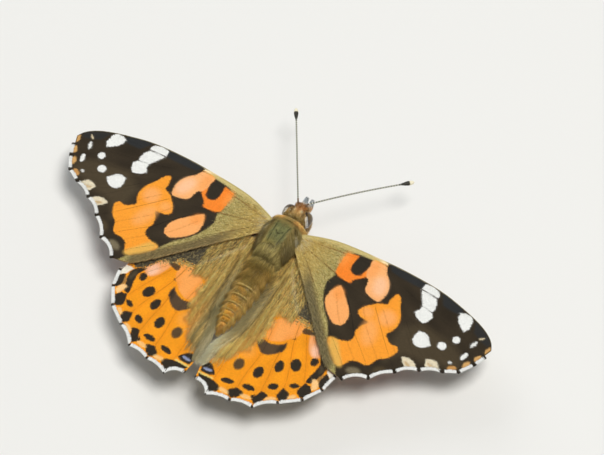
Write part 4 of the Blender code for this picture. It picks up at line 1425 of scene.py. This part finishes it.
def wing_hair(name, seed, count, window, keep, lie_at, length, width, rise, tone_at, wing):
    """Long hair scales that lie on a wing's upper face, on both wings of the pair."""
    level = wing["level"]
    draw = np.random.default_rng(seed)
    (out0, out1), (ahead0, ahead1) = window
    at = np.stack([draw.uniform(out0, out1, count), draw.uniform(ahead0, ahead1, count)], -1)
    at = at[draw.uniform(size=count) < keep(at)]
    n = len(at)
    roots = np.column_stack([at, level(at) + MEMBRANE / 2 + SCALE_RISE * 0.5])
    lie = lie_at(at) + draw.normal(scale=0.09, size=(n, 2))
    lie = unit(np.column_stack([lie, np.zeros(n)]))
    ahead_level = level(at + lie[:, :2] * 0.5)
    lie[:, 2] = (ahead_level - level(at)) / 0.5
    corners = straws(roots, unit(lie), np.tile((0, 0, 1.0), (n, 1)), length * draw.uniform(0.6, 1.25, n),
                     width, rise * draw.uniform(0.4, 1.3, n))
    for side_name, side in SIDES.items():
        tones = tone_at(at, draw, side) * FUR_LIFT
        hair = coat_piece(f"{name}_{side_name}", corners, STRAW, tones, wing_spots(at), fur_finish,
                          lambda at: wing_place(at, side, wing["turn"]))
        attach(hair, "root")


def from_inner_edge(at):
    """How far places lie out from the hindwing's inner edge."""
    edge = np.array(HINDWING_INNER)
    return at[:, 0] - np.interp(at[:, 1], edge[:, 1], edge[:, 0])


def hind_hair_keep(at):
    """Dense over the inner third, thin over the speckled base, inside the outline."""
    base = fade(at[:, 0], 2.8, 4.2) * (1 - fade(-at[:, 1], 8.0, 11.0))
    return hindwing_hairiness(at) * (1 - 0.7 * base) * (depth_in(at, hind_outline) > -0.1)


def hind_hair_lie(at):
    """Away from the base, then straight back along the inner edge."""
    fan = unit(at - np.array((1.0, 3.0)))
    back = np.array((-0.06, -1.0))
    return fan * 0.5 + back * 0.7


HAIR_FOLD = smooth_through([(3.3, -4.6), (3.15, -9.4), (2.8, -13.0), (1.9, -16.4)], 6)
HAIR_WISPS = smooth_through([(3.4, -3.6), (4.7, -5.6), (5.9, -7.2), (7.2, -8.6)], 6)


def hind_hair_tone(at, draw, side):
    """Golden tan with soft streaks, grey and paler by the inner edge; painted shade along the fold, and over
    the fold by the inner edge on the left wing.
    """
    out, behind = at[:, 0], -at[:, 1]
    streak = np.sin(out * 6.0 - np.sin(behind * 0.5) * 1.5) + 0.6 * np.sin(out * 15.0 - behind * 0.3)
    streak = streak + draw.normal(scale=0.5, size=len(at))
    tones = laid(np.tile(seen(HAIR_GOLD), (len(at), 1)), HAIR_BROWN, fade(streak, 0.4, 1.5) * 0.7)
    tones = laid(tones, HAIR_STRAW, fade(-streak, 0.6, 1.6) * 0.8)
    edge = from_inner_edge(at) + draw.normal(scale=0.15, size=len(at))
    grey = laid(seen(HAIR_GREY), HAIR_SILVER, fade(behind - edge * 1.5, 13.5, 18.0))
    tones = mixed(tones, grey, (1 - fade(edge, 0.5, 1.4)) * fade(behind, 5.0, 9.0) * 0.9)
    # On the left wing the fold by the inner edge is turned from the light, and its shade is painted in.
    if side > 0:
        left_fold_shade = 0.75 * fade(behind, 8.5, 11.0) * (1 - fade(out - edge * 0.3, 2.2, 3.4))
        tones = laid(tones, LEFT_FOLD_SHADE, left_fold_shade * (0.5 + 0.5 * fade(streak, -1.2, 0.6)))
    tones = laid(tones, HAIR_PEPPER, draw.uniform(size=len(at)) < 0.13 * (1 - fade(behind, 8.0, 11.0)))
    # A thin painted shade along the fold line, then pale wisps of hair.
    for line, tone, width in ((HAIR_FOLD, HAIR_FOLD_SHADE, 0.08), (HAIR_WISPS, WISP_CREAM, 0.13)):
        reach = reach_to(at, line) + draw.normal(scale=0.05, size=len(at))
        tones = laid(tones, tone, np.exp(-(reach / width) ** 2) * 0.8)
    tones = laid(tones, HAIR_RUST, (1 - fade(np.abs(out - 4.3), 0.6, 1.6)) * fade(behind, 11.0, 17.0) * 0.6)
    return tones * draw.uniform(0.82, 1.18, (len(at), 1))


def inner_hair_keep(at):
    """A narrow strip along the inner edge."""
    edge = from_inner_edge(at)
    return (edge > -0.05) & (edge < 0.8) & (depth_in(at, hind_outline) > -0.1)


wing_hair("hindwing_hair", 81, 46000, ((0.2, 7.4), (-21.0, -2.2)), hind_hair_keep,
          hind_hair_lie, 1.1, 0.05, 0.08, hind_hair_tone, hindwing)
wing_hair("hindwing_edge_hair", 82, 26000, ((0.2, 3.4), (-21.0, -3.2)), inner_hair_keep,
          lambda at: np.array((-0.42, -1.0)), 1.5, 0.042, 0.34, hind_hair_tone, hindwing)

# ------------------------------------------------------------
# Forewings. The same make as the hindwings, longer and stiffer, with a thick pale vein along the
# leading edge. They lie over the front of the hindwings; hair covers the base and the rear margin.

FOREWING_TURN = radians(-0.84)

FOREWING_COSTA = [(1.9, 0.4), (3.1, 1.1), (6.6, 2.25), (11.0, 2.8), (16.3, 3.1), (21.5, 2.95), (25.3, 2.25),
                  (28.5, 1.3), (30.5, 0.1), (31.45, -1.4)]
FOREWING_VEIN_ENDS = [(31.3, -2.35), (30.6, -4.1), (29.4, -6.1), (27.55, -7.15), (25.0, -8.5),
                      (22.55, -10.27), (20.2, -12.8), (17.4, -14.65)]
FOREWING_BAYS = [0.0, 0.0, 0.05, 0.3, 0.38, 0.35, 0.5]
FOREWING_REAR = [(16.0, -14.45), (13.5, -13.0), (8.0, -7.3), (3.1, -2.3), (1.9, -1.7)]

FOREWING_VEINS = [
    [(3.2, 0.8), (8.0, 2.0), (13.8, 2.6)],
    [(3.2, 0.3), (9.0, 1.3), (14.0, 1.85), (19.5, 1.85), (24.0, 1.75), (27.6, 0.9), (30.0, -0.3)],
    [(16.5, 1.2), (20.4, 0.0), (22.2, -0.2), (26.6, -1.1), (31.0, -2.3)],
    [(19.6, -1.5), (21.4, -2.25), (26.0, -2.95), (30.3, -4.0)],
    [(19.6, -2.3), (20.5, -2.6), (24.7, -4.2), (29.1, -5.9)],
    [(19.7, -2.9), (21.6, -4.6), (24.0, -6.2), (27.3, -7.0)],
    [(15.7, -2.35), (17.2, -2.35), (18.7, -2.8), (20.5, -4.2), (22.6, -6.3), (24.8, -8.2)],
    [(15.0, -2.8), (17.6, -5.5), (20.3, -8.2), (22.3, -10.0)],
    [(3.2, -0.6), (8.9, -1.9), (12.0, -2.6), (15.0, -2.8)],
    [(10.5, -2.6), (13.7, -6.1), (15.3, -8.0), (19.0, -11.2), (20.0, -12.5)],
    [(3.2, -1.0), (7.0, -4.4), (13.0, -9.8), (16.2, -12.6), (17.2, -14.3)],
]
FOREWING_FOCUS = (-2, 2)
COSTA_RADIUS, COSTA_SIDES = 0.1, 10

# Upper face: the dark ground, its warm and pale marks with a painted sheen by the leading edge, the leading
# edge, then the hair.
BROWN_BLACK, APEX_TONE, SHEEN_BLUE = (54, 45, 32), (84, 72, 52), (44, 47, 49)
FLAME, EMBER, AMBER = (250, 139, 46), (252, 158, 72), (251, 162, 50)
PEACH, PALE_PEACH = (255, 184, 118), (255, 206, 166)
GOLDEN_PEACH, ROSY_PEACH, STRAW_GOLD = (254, 175, 96), (254, 177, 105), (226, 184, 92)
TIP_CREAM, MARGIN_TAN, MARGIN_OCHRE = (222, 206, 170), (226, 176, 108), (214, 158, 90)
LUNULE_CREAM, LUNULE_BROWN = (238, 226, 196), (186, 146, 84)
GREY_OLIVE, DULL_BROWN = (150, 138, 108), (92, 78, 52)
ROOT_VEIN, FOLD_SHADE, REAR_GREY = (132, 88, 40), (184, 106, 34), (108, 98, 68)
COSTA_TAN, COSTA_CREAM = (206, 188, 124), (254, 232, 184)
COSTA_ORANGE, COSTA_DUSK = (244, 176, 86), (112, 108, 84)
ROOT_SPECKS = [GOLD, GOLD, (204, 178, 106), (172, 144, 74), (210, 188, 122)]
OLIVE_SPECKS = [(168, 152, 90), (180, 166, 102), (196, 178, 118), (158, 148, 90), (134, 118, 66)]
ROOT_HAIR, ROOT_HAIR_PALE, REAR_HAIR = (186, 160, 92), (206, 186, 150), (166, 138, 86)
ROOT_HAIR_SPECKS = [(168, 146, 82), (204, 180, 118), (148, 126, 72)]
REAR_HAIR_SPECKS = [(82, 74, 52), (112, 102, 74), (142, 128, 90)]

# Under face.
ROSY = (238, 146, 108)
TIP_SPECKS = [(176, 160, 112), (150, 132, 88), (206, 192, 150)]

FOREWING_BASE = blob((1.5, 1.0), (4.0, 1.5), (8.0, 2.4), (10.4, 2.6), (9.0, 1.5), (8.55, 0.3), (8.55, -1.2),
                     (8.8, -2.2), (8.5, -3.4), (8.9, -5.0), (10.1, -7.0), (11.6, -8.5), (12.7, -10.3),
                     (14.3, -12.3), (15.6, -13.3), (16.2, -14.9), (13.0, -13.2), (7.0, -7.0), (1.5, -2.4))
FOREWING_WARM_MARKS = [
    (FLAME, blob((8.65, 1.5), (8.5, 0.3), (8.55, -1.0), (8.8, -1.85), (9.9, -2.15), (11.0, -2.15),
                 (11.3, -1.5), (12.0, -0.8), (12.5, -0.1), (12.2, 1.0), (12.0, 1.9),
                 (10.2, 1.9)), 0.08, 1.0),
    (EMBER, oval(8.8, 0.6, 0.5, 1.2), 0.5, 0.6),
    (PEACH, blob((11.9, 2.3), (13.0, 2.4), (13.9, 2.3), (14.35, 1.5), (15.1, 0.8), (15.65, 0.0),
                 (15.85, -0.9), (15.8, -2.0), (15.4, -2.65), (14.2, -2.5), (13.3, -2.1), (13.05, -1.3),
                 (12.8, -0.6), (12.3, -0.2), (12.0, 0.5), (11.9, 1.4)), 0.07, 1.0),
    (PALE_PEACH, oval(14.6, -0.6, 0.9, 1.4, 20), 0.6, 0.7),
    (EMBER, oval(12.6, 1.1, 0.7, 1.3), 0.5, 0.5),
    (AMBER, blob((16.7, -2.3), (16.7, -1.5), (17.1, -0.35), (17.8, -0.8), (18.3, -1.8), (18.8, -2.5),
                 (19.25, -3.4), (19.35, -4.4), (19.15, -5.3), (18.75, -6.0), (19.3, -6.6), (20.1, -7.0),
                 (20.8, -6.85), (21.2, -7.4), (21.0, -8.2), (20.5, -9.0), (19.6, -9.8), (19.35, -10.6),
                 (18.7, -11.2), (17.6, -11.3), (16.8, -11.7), (16.4, -12.5), (15.9, -13.05), (15.0, -12.9),
                 (13.8, -11.9), (12.9, -10.8), (12.9, -10.1), (14.2, -9.8), (15.2, -9.4), (15.5, -8.5),
                 (15.2, -7.6), (15.5, -6.6), (15.9, -5.8), (14.6, -5.6), (14.05, -5.0), (14.4, -4.1),
                 (15.1, -3.3), (15.8, -2.6)), 0.07, 1.0),
    (GOLDEN_PEACH, oval(16.8, -7.0, 1.0, 1.9, 20), 0.7, 0.85),
    (ROSY_PEACH, oval(17.7, -4.0, 1.1, 1.1), 0.6, 0.85),
    (GOLDEN_PEACH, oval(15.2, -4.6, 0.8, 0.7), 0.5, 0.8),
    (STRAW_GOLD, blob((12.9, -10.2), (14.0, -10.0), (15.0, -11.2), (16.2, -12.7), (15.8, -13.2),
                      (14.6, -12.6), (13.2, -11.2)), 0.35, 0.8),
    (ROSY_PEACH, blob((10.2, -3.05), (11.1, -3.7), (12.1, -4.65), (13.0, -5.6), (13.45, -6.6), (13.4, -7.7),
                      (12.9, -8.15), (12.1, -8.15), (11.1, -7.5), (10.2, -6.7), (9.6, -5.8), (9.55, -4.7),
                      (9.8, -3.7)), 0.07, 1.0),
    (EMBER, oval(10.6, -4.2, 0.7, 1.0, 40), 0.5, 0.6),
    (SOOT, blob((10.1, 1.8), (10.8, 2.1), (11.7, 2.05), (12.0, 1.2), (11.85, 0.1), (11.5, -0.7),
                (10.8, -0.85), (10.1, -0.4), (9.95, 0.6)), 0.07, 1.0),
    (SOOT, blob((8.4, -3.4), (9.3, -2.75), (9.9, -2.95), (9.65, -3.8), (9.35, -4.6),
                (8.8, -4.9)), 0.1, 0.95),
]
FOREWING_FOLDS = [smooth_through(line, 5) for line in (
    [(16.6, -3.2), (18.4, -5.0), (20.8, -7.5), (22.4, -8.8)],
    [(14.4, -4.4), (16.4, -6.8), (19.6, -9.7), (21.0, -11.0)],
    [(10.4, -4.4), (12.8, -7.6), (16.0, -10.3), (18.6, -12.6)])]
FOREWING_SHEEN_AND_PALE_MARKS = [
    # Painted sheen: blue-grey patches on the black along the leading edge.
    (SHEEN_BLUE, blob((13.9, 3.0), (19.2, 2.9), (19.3, 2.0), (16.5, 1.9), (14.4, 2.2)), 0.2, 0.85),
    (SHEEN_BLUE, blob((21.8, 2.8), (25.1, 2.2), (25.0, 1.2), (22.2, 1.4)), 0.2, 0.85),
    (SHEEN_BLUE, blob((27.4, 1.5), (30.4, 0.0), (30.2, -0.9), (27.5, 0.3)), 0.2, 0.7),
    *alike(WHITE, 0.05, 1.0,
           patch((19.25, 1.95), (19.45, 2.8), (20.5, 2.9), (21.4, 2.65), (21.8, 2.25), (21.75, 1.85),
                 (20.4, 1.84)),
           patch((19.35, 1.8), (20.3, 1.78), (21.5, 1.72), (22.0, 1.1), (22.2, 0.3), (22.1, -0.3),
                 (21.2, -0.22), (20.6, -0.22), (20.15, 0.5), (19.75, 1.1)),
           patch((20.6, -0.26), (21.3, -0.26), (22.1, -0.38), (22.55, -0.95), (22.35, -1.6), (21.95, -2.3),
                 (21.3, -2.2), (20.6, -1.9), (20.25, -1.45), (20.5, -0.85)),
           patch((25.2, 1.45), (25.75, 1.78), (26.7, 1.75), (27.15, 1.35), (27.2, 0.7), (27.35, 0.05),
                 (26.9, -0.62), (26.3, -0.3), (25.65, 0.2), (25.2, 0.85)),
           oval(26.7, -2.12, 0.5, 0.52), oval(25.58, -3.8, 0.58, 0.55),
           patch((22.1, -3.5), (22.7, -3.3), (23.4, -3.5), (23.75, -3.9), (24.35, -4.5), (23.8, -5.2),
                 (23.0, -5.55), (22.3, -5.4), (21.9, -4.9), (21.85, -4.3))),
    (TIP_CREAM, oval(29.35, -0.3, 0.42, 0.16, 42), 0.08, 0.85),
    (WHITE, oval(28.9, -1.5, 0.22, 0.6, -22), 0.07, 0.95),
    (WHITE, oval(28.68, -3.65, 0.3, 0.66, -12), 0.07, 0.98),
    (MARGIN_TAN, blob((30.9, -0.8), (31.2, -1.6), (30.8, -2.1), (30.5, -1.2)), 0.1, 0.8),
    (MARGIN_TAN, blob((30.4, -2.4), (30.7, -3.3), (30.1, -3.5), (29.9, -2.9)), 0.1, 0.85),
    (MARGIN_TAN, blob((29.6, -3.9), (30.0, -4.5), (29.8, -5.2), (29.2, -5.0), (29.2, -4.2)), 0.1, 0.85),
    (MARGIN_OCHRE, oval(28.2, -5.9, 0.6, 0.35, 30), 0.12, 0.85),
    (WHITE, oval(27.6, -5.3, 0.28, 0.18, 30), 0.1, 0.8),
    (LUNULE_CREAM, patch((24.8, -6.5), (25.3, -6.15), (26.2, -6.05), (26.6, -6.5), (27.1, -7.2),
                         (26.2, -7.6), (25.2, -7.5)), 0.08, 0.9),
    (LUNULE_BROWN, oval(26.0, -7.05, 0.75, 0.2, -14), 0.15, 0.7),
    (LUNULE_CREAM, patch((22.0, -7.8), (22.9, -7.45), (23.7, -7.6), (24.4, -8.2), (24.5, -8.7),
                         (23.4, -9.0), (22.7, -8.6)), 0.08, 0.9),
    (LUNULE_BROWN, oval(23.4, -8.5, 0.8, 0.22, -28), 0.15, 0.7),
    (GREY_OLIVE, oval(17.9, -12.7, 0.9, 0.5, 20), 0.3, 0.6),
    (DULL_BROWN, oval(20.6, -10.9, 0.8, 0.5, 40), 0.3, 0.5),
]
APEX_BROWN = blob((22.0, -2.5), (27.0, -3.0), (29.0, -5.0), (27.0, -6.4), (22.0, -7.5), (20.4, -9.6),
                  (19.9, -6.3), (19.9, -3.5))


def forewing_level(at):
    """The surface's height over the plan."""
    return veins_relief(at, FOREWING_VEINS) - WING_DROOP * at[:, 0]


def behind_costa(at):
    """How far places lie behind the wing's leading edge."""
    return np.interp(at[:, 0], *fore_costa.T) - at[:, 1]


def costal_band(at):
    """The tan and cream strip behind the leading edge, out to where it turns black."""
    width = np.interp(at[:, 0], [3, 8, 13.9], [0.6, 0.75, 0.55])
    return (1 - fade(behind_costa(at), width - 0.1, width + 0.1)) * (1 - fade(at[:, 0], 13.75, 13.95))


def forewing_upper(at, draw, ragged):
    """Markings of the upper face."""
    at = frayed(at, FOREWING_FOCUS, draw, ragged)
    out = at[:, 0]
    colours = np.tile(seen(BROWN_BLACK), (len(at), 1)) * (1 + 0.15 * mottle(at, 1.2, 6)[:, None])
    colours = lay_marks(colours, at, [(APEX_TONE, APEX_BROWN, 0.8, 0.65)])
    hairy = fade(depth_in(at, FOREWING_BASE), -0.12, 0.12)
    root = speckled(colours.copy(), 1.0, ROOT_SPECKS, draw)
    olive = speckled(colours.copy(), 1.0, OLIVE_SPECKS, draw)
    away = fade(out + draw.normal(scale=0.6, size=len(at)), 4.5, 8.0)
    colours = mixed(colours, mixed(root, olive, away), hairy)
    for vein in (FOREWING_VEINS[1][:3], FOREWING_VEINS[8][:2], FOREWING_VEINS[10][:2]):
        near = np.exp(-(reach_to(at, np.array(vein)) / 0.06) ** 2)
        colours = laid(colours, ROOT_VEIN, 0.7 * near * hairy)
    colours = lay_marks(colours, at, FOREWING_WARM_MARKS)
    for fold in FOREWING_FOLDS:
        near = np.exp(-(reach_to(at, fold) / 0.06) ** 2)
        colours = laid(colours, FOLD_SHADE, 0.4 * near * fade(colours[:, 0], 0.5, 0.8))
    rear = (1 - fade(reach_to(at, fore_rear), 0.9, 1.5)) * 0.8
    colours = laid(colours, REAR_GREY, rear * fade(out, 4.5, 7.0) * (1 - fade(out, 14.8, 15.8)))
    strip = laid(seen(COSTA_TAN), COSTA_CREAM, fade(out, 12.2, 13.4))
    strip = laid(strip, COSTA_ORANGE, fade(behind_costa(at), 0.35, 0.5) * fade(out, 11.6, 12.4))
    return lay_marks(mixed(colours, strip, costal_band(at)), at, FOREWING_SHEEN_AND_PALE_MARKS)


def forewing_under(at, draw, ragged):
    """Rosy orange with the same dark and white marks, and a sandy tip."""
    upper = forewing_upper(at, draw, ragged)
    rosy = seen(ROSY)
    colours = mixed(upper, rosy * 0.75 + upper * 0.25, fade(upper[:, 0] - upper[:, 2], 0.25, 0.6))
    colours = mixed(colours, rosy * 0.9, fade(depth_in(at, FOREWING_BASE), -0.2, 0.2) * 0.8)
    tip = fade(at[:, 0] + at[:, 1] * 0.4, 23.5, 25.5) * (upper.mean(1) < 0.35) * 0.85
    return mixed(colours, speckled(colours.copy(), 1.0, TIP_SPECKS, draw), tip)


fore_costa = smooth_through(FOREWING_COSTA, 5)
fore_rear = smooth_through(FOREWING_REAR, 5)
fore_margin = scalloped(FOREWING_VEIN_ENDS, FOREWING_BAYS, 8)
fore_outline = np.concatenate([inset(fore_costa, 0.06)[:-1], inset(fore_margin, FRINGE * 0.8),
                               fore_rear[1:]])
forewing = dict(
    kind="forewing", turn=FOREWING_TURN, level=forewing_level, sheet=wing_sheet(fore_outline),
    upper=forewing_upper, under=forewing_under,
    upper_scales=wing_scales(fore_outline, FOREWING_FOCUS, forewing_level, forewing_upper, 91, 0.114, 1),
    under_scales=wing_scales(fore_outline, FOREWING_FOCUS, forewing_level, forewing_under, 92, 0.175, -1),
    fringe=margin_fringe(fore_margin, forewing_level, fringe_tones(FOREWING_VEIN_ENDS, 0.32), 93),
    veins=wing_veins(FOREWING_VEINS, forewing_level, forewing_upper, [0.8] * 7 + [0.55, 0.7, 0.5, 0.5]))
for name in SIDES:
    wing_pieces(name, forewing)


def costa_tone(share, angle):
    """Tan, then cream, then cream-edged black towards the tip."""
    out = np.interp(share, np.linspace(0, 1, len(costa_line)), costa_line[:, 0])
    tone = laid(seen(COSTA_TAN), COSTA_CREAM, fade(out, 10.5, 12.5))
    top = fade(np.sin(angle * tau), 0.2, 0.7)
    return laid(tone, COSTA_DUSK, fade(out, 13.6, 14.2) * 0.9 * top) * 0.85


costa_line = inset(fore_costa[:-4], COSTA_RADIUS)
costa_radius = np.interp(costa_line[:, 0], [2, 6, 20, 31], [0.13, COSTA_RADIUS, 0.08, 0.05])
costa_tube = np.column_stack([costa_line, forewing_level(costa_line), costa_radius])
for name, side in SIDES.items():
    corners = tube_points(costa_tube, COSTA_SIDES)
    costa = make_piece("forewing_costa_" + name, wing_place(corners, side, FOREWING_TURN),
                       tube_faces(len(costa_tube), COSTA_SIDES),
                       costa_tone(*tube_shares(costa_tube, COSTA_SIDES)), wing_spots(corners), wing_finish)
    costa.data.shade_smooth()
    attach(costa, "root")


def fore_hair_keep(at):
    """Dense at the root, thinning out over the olive base, and dense again along the rear margin."""
    root = 1 - fade(np.hypot(at[:, 0] - 1.5, at[:, 1] + 0.5), 2.2, 7.0)
    rear = (1 - fade(reach_to(at, fore_rear), 0.5, 1.5)) * (1 - fade(at[:, 0], 13.8, 15.2))
    dense = np.clip(root * 0.6 + rear * 0.9 + 0.07 * (at[:, 0] < 8.3), 0, 1)
    return dense * (depth_in(at, fore_outline) > 0.05)


def fore_hair_tone(at, draw, side):
    """Golden olive at the root, darker and greyer along the rear margin, less so on the left wing."""
    rear = (1 - fade(reach_to(at, fore_rear), 0.5, 1.6)) * fade(at[:, 0], 4.0, 7.0)
    tones = speckled(np.tile(seen(ROOT_HAIR), (len(at), 1)), 0.6, ROOT_HAIR_SPECKS, draw)
    pale = 1 - fade(np.hypot(at[:, 0] - 2.2, at[:, 1] + 0.2), 0.8, 1.8)
    tones = laid(tones, ROOT_HAIR_PALE, pale * 0.7)
    dark = speckled(tones.copy(), 1.0, REAR_HAIR_SPECKS, draw)
    if side > 0:
        dark = laid(dark, REAR_HAIR, 0.45)
    return mixed(tones, dark, rear) * draw.uniform(0.85, 1.15, (len(at), 1))


wing_hair("forewing_hair", 101, 24000, ((1.9, 15.4), (-13.6, 2.0)), fore_hair_keep,
          lambda at: unit(at - np.array((-2.0, 1.5))), 0.8, 0.04, 0.1, fore_hair_tone, forewing)
wing_hair("forewing_rear_fringe", 102, 44000, ((3.4, 15.6), (-14.0, -2.4)),
          lambda at: (reach_to(at, fore_rear) < 0.28) * (depth_in(at, fore_outline) > 0.03),
          lambda at: np.array((0.05, -1.0)), 0.5, 0.04, 0.05, fore_hair_tone, forewing)

# ------------------------------------------------------------
# The floor, the light and the camera. A pale matt floor, one large soft lamp over the insect, a weaker
# one opposite, and a pale sky.

FLOOR_HALF = 1.5                  # metres, as are the lamps' and the camera's places
FLOOR_PALE = (232, 232, 229)
LAMP_AIM_UP = 0.007               # the lamps point at the insect's middle
LENS = 209.2                      # millimetres, for the camera's own sensor
floor_mesh = bpy.data.meshes.new("floor")
floor_mesh.from_pydata([(-FLOOR_HALF, -FLOOR_HALF, 0), (FLOOR_HALF, -FLOOR_HALF, 0),
                        (FLOOR_HALF, FLOOR_HALF, 0), (-FLOOR_HALF, FLOOR_HALF, 0)], [], [(0, 1, 2, 3)])
floor_finish, paper, _, _ = new_finish("floor_paper")
set_sockets(paper, {"Roughness": 0.9, "Specular IOR Level": 0.1, "Base Color": (*seen(FLOOR_PALE), 1)})
floor_mesh.materials.append(floor_finish)
floor = bpy.data.objects.new("floor", floor_mesh)
bpy.context.scene.collection.objects.link(floor)


def soft_lamp(name, at, size, watts, tint):
    """A square lamp that faces the insect."""
    lamp = bpy.data.lights.new(name, "AREA")
    lamp.size = size
    lamp.energy = watts
    lamp.color = tint
    light = bpy.data.objects.new(name, lamp)
    light.location = at
    way = Vector((0, 0, LAMP_AIM_UP)) - Vector(at)
    light.rotation_euler = way.to_track_quat("-Z", "Y").to_euler()
    bpy.context.scene.collection.objects.link(light)


soft_lamp("key_lamp", (-0.25, 0.05, 0.9), 0.3, 7.2, (1.0, 0.98, 0.95))
soft_lamp("fill_lamp", (0.35, -0.2, 0.3), 0.35, 0.6, (0.94, 0.97, 1.0))
sky = bpy.data.worlds.new("studio_sky")
sky.use_nodes = True
set_sockets(sky.node_tree.nodes["Background"], {"Color": (0.93, 0.96, 1.0, 1), "Strength": 0.22})
bpy.context.scene.world = sky
bpy.context.scene.view_settings.view_transform = "Standard"

CAMERA_AT = Vector((-0.125465, 0.18713, 0.39505))
CAMERA_RIGHT = Vector((-0.8599, -0.5100, -0.0210))
CAMERA_DOWN = Vector((-0.4301, 0.7461, -0.5084))
lens = bpy.data.cameras.new("camera")
lens.lens = LENS
lens.clip_start, lens.clip_end = 0.01, 10.0
camera = bpy.data.objects.new("camera", lens)
turn = Matrix((CAMERA_RIGHT, -CAMERA_DOWN, -CAMERA_RIGHT.cross(CAMERA_DOWN))).transposed()
camera.matrix_world = Matrix.Translation(CAMERA_AT) @ turn.normalized().to_4x4()
bpy.context.scene.collection.objects.link(camera)
bpy.context.scene.camera = camera
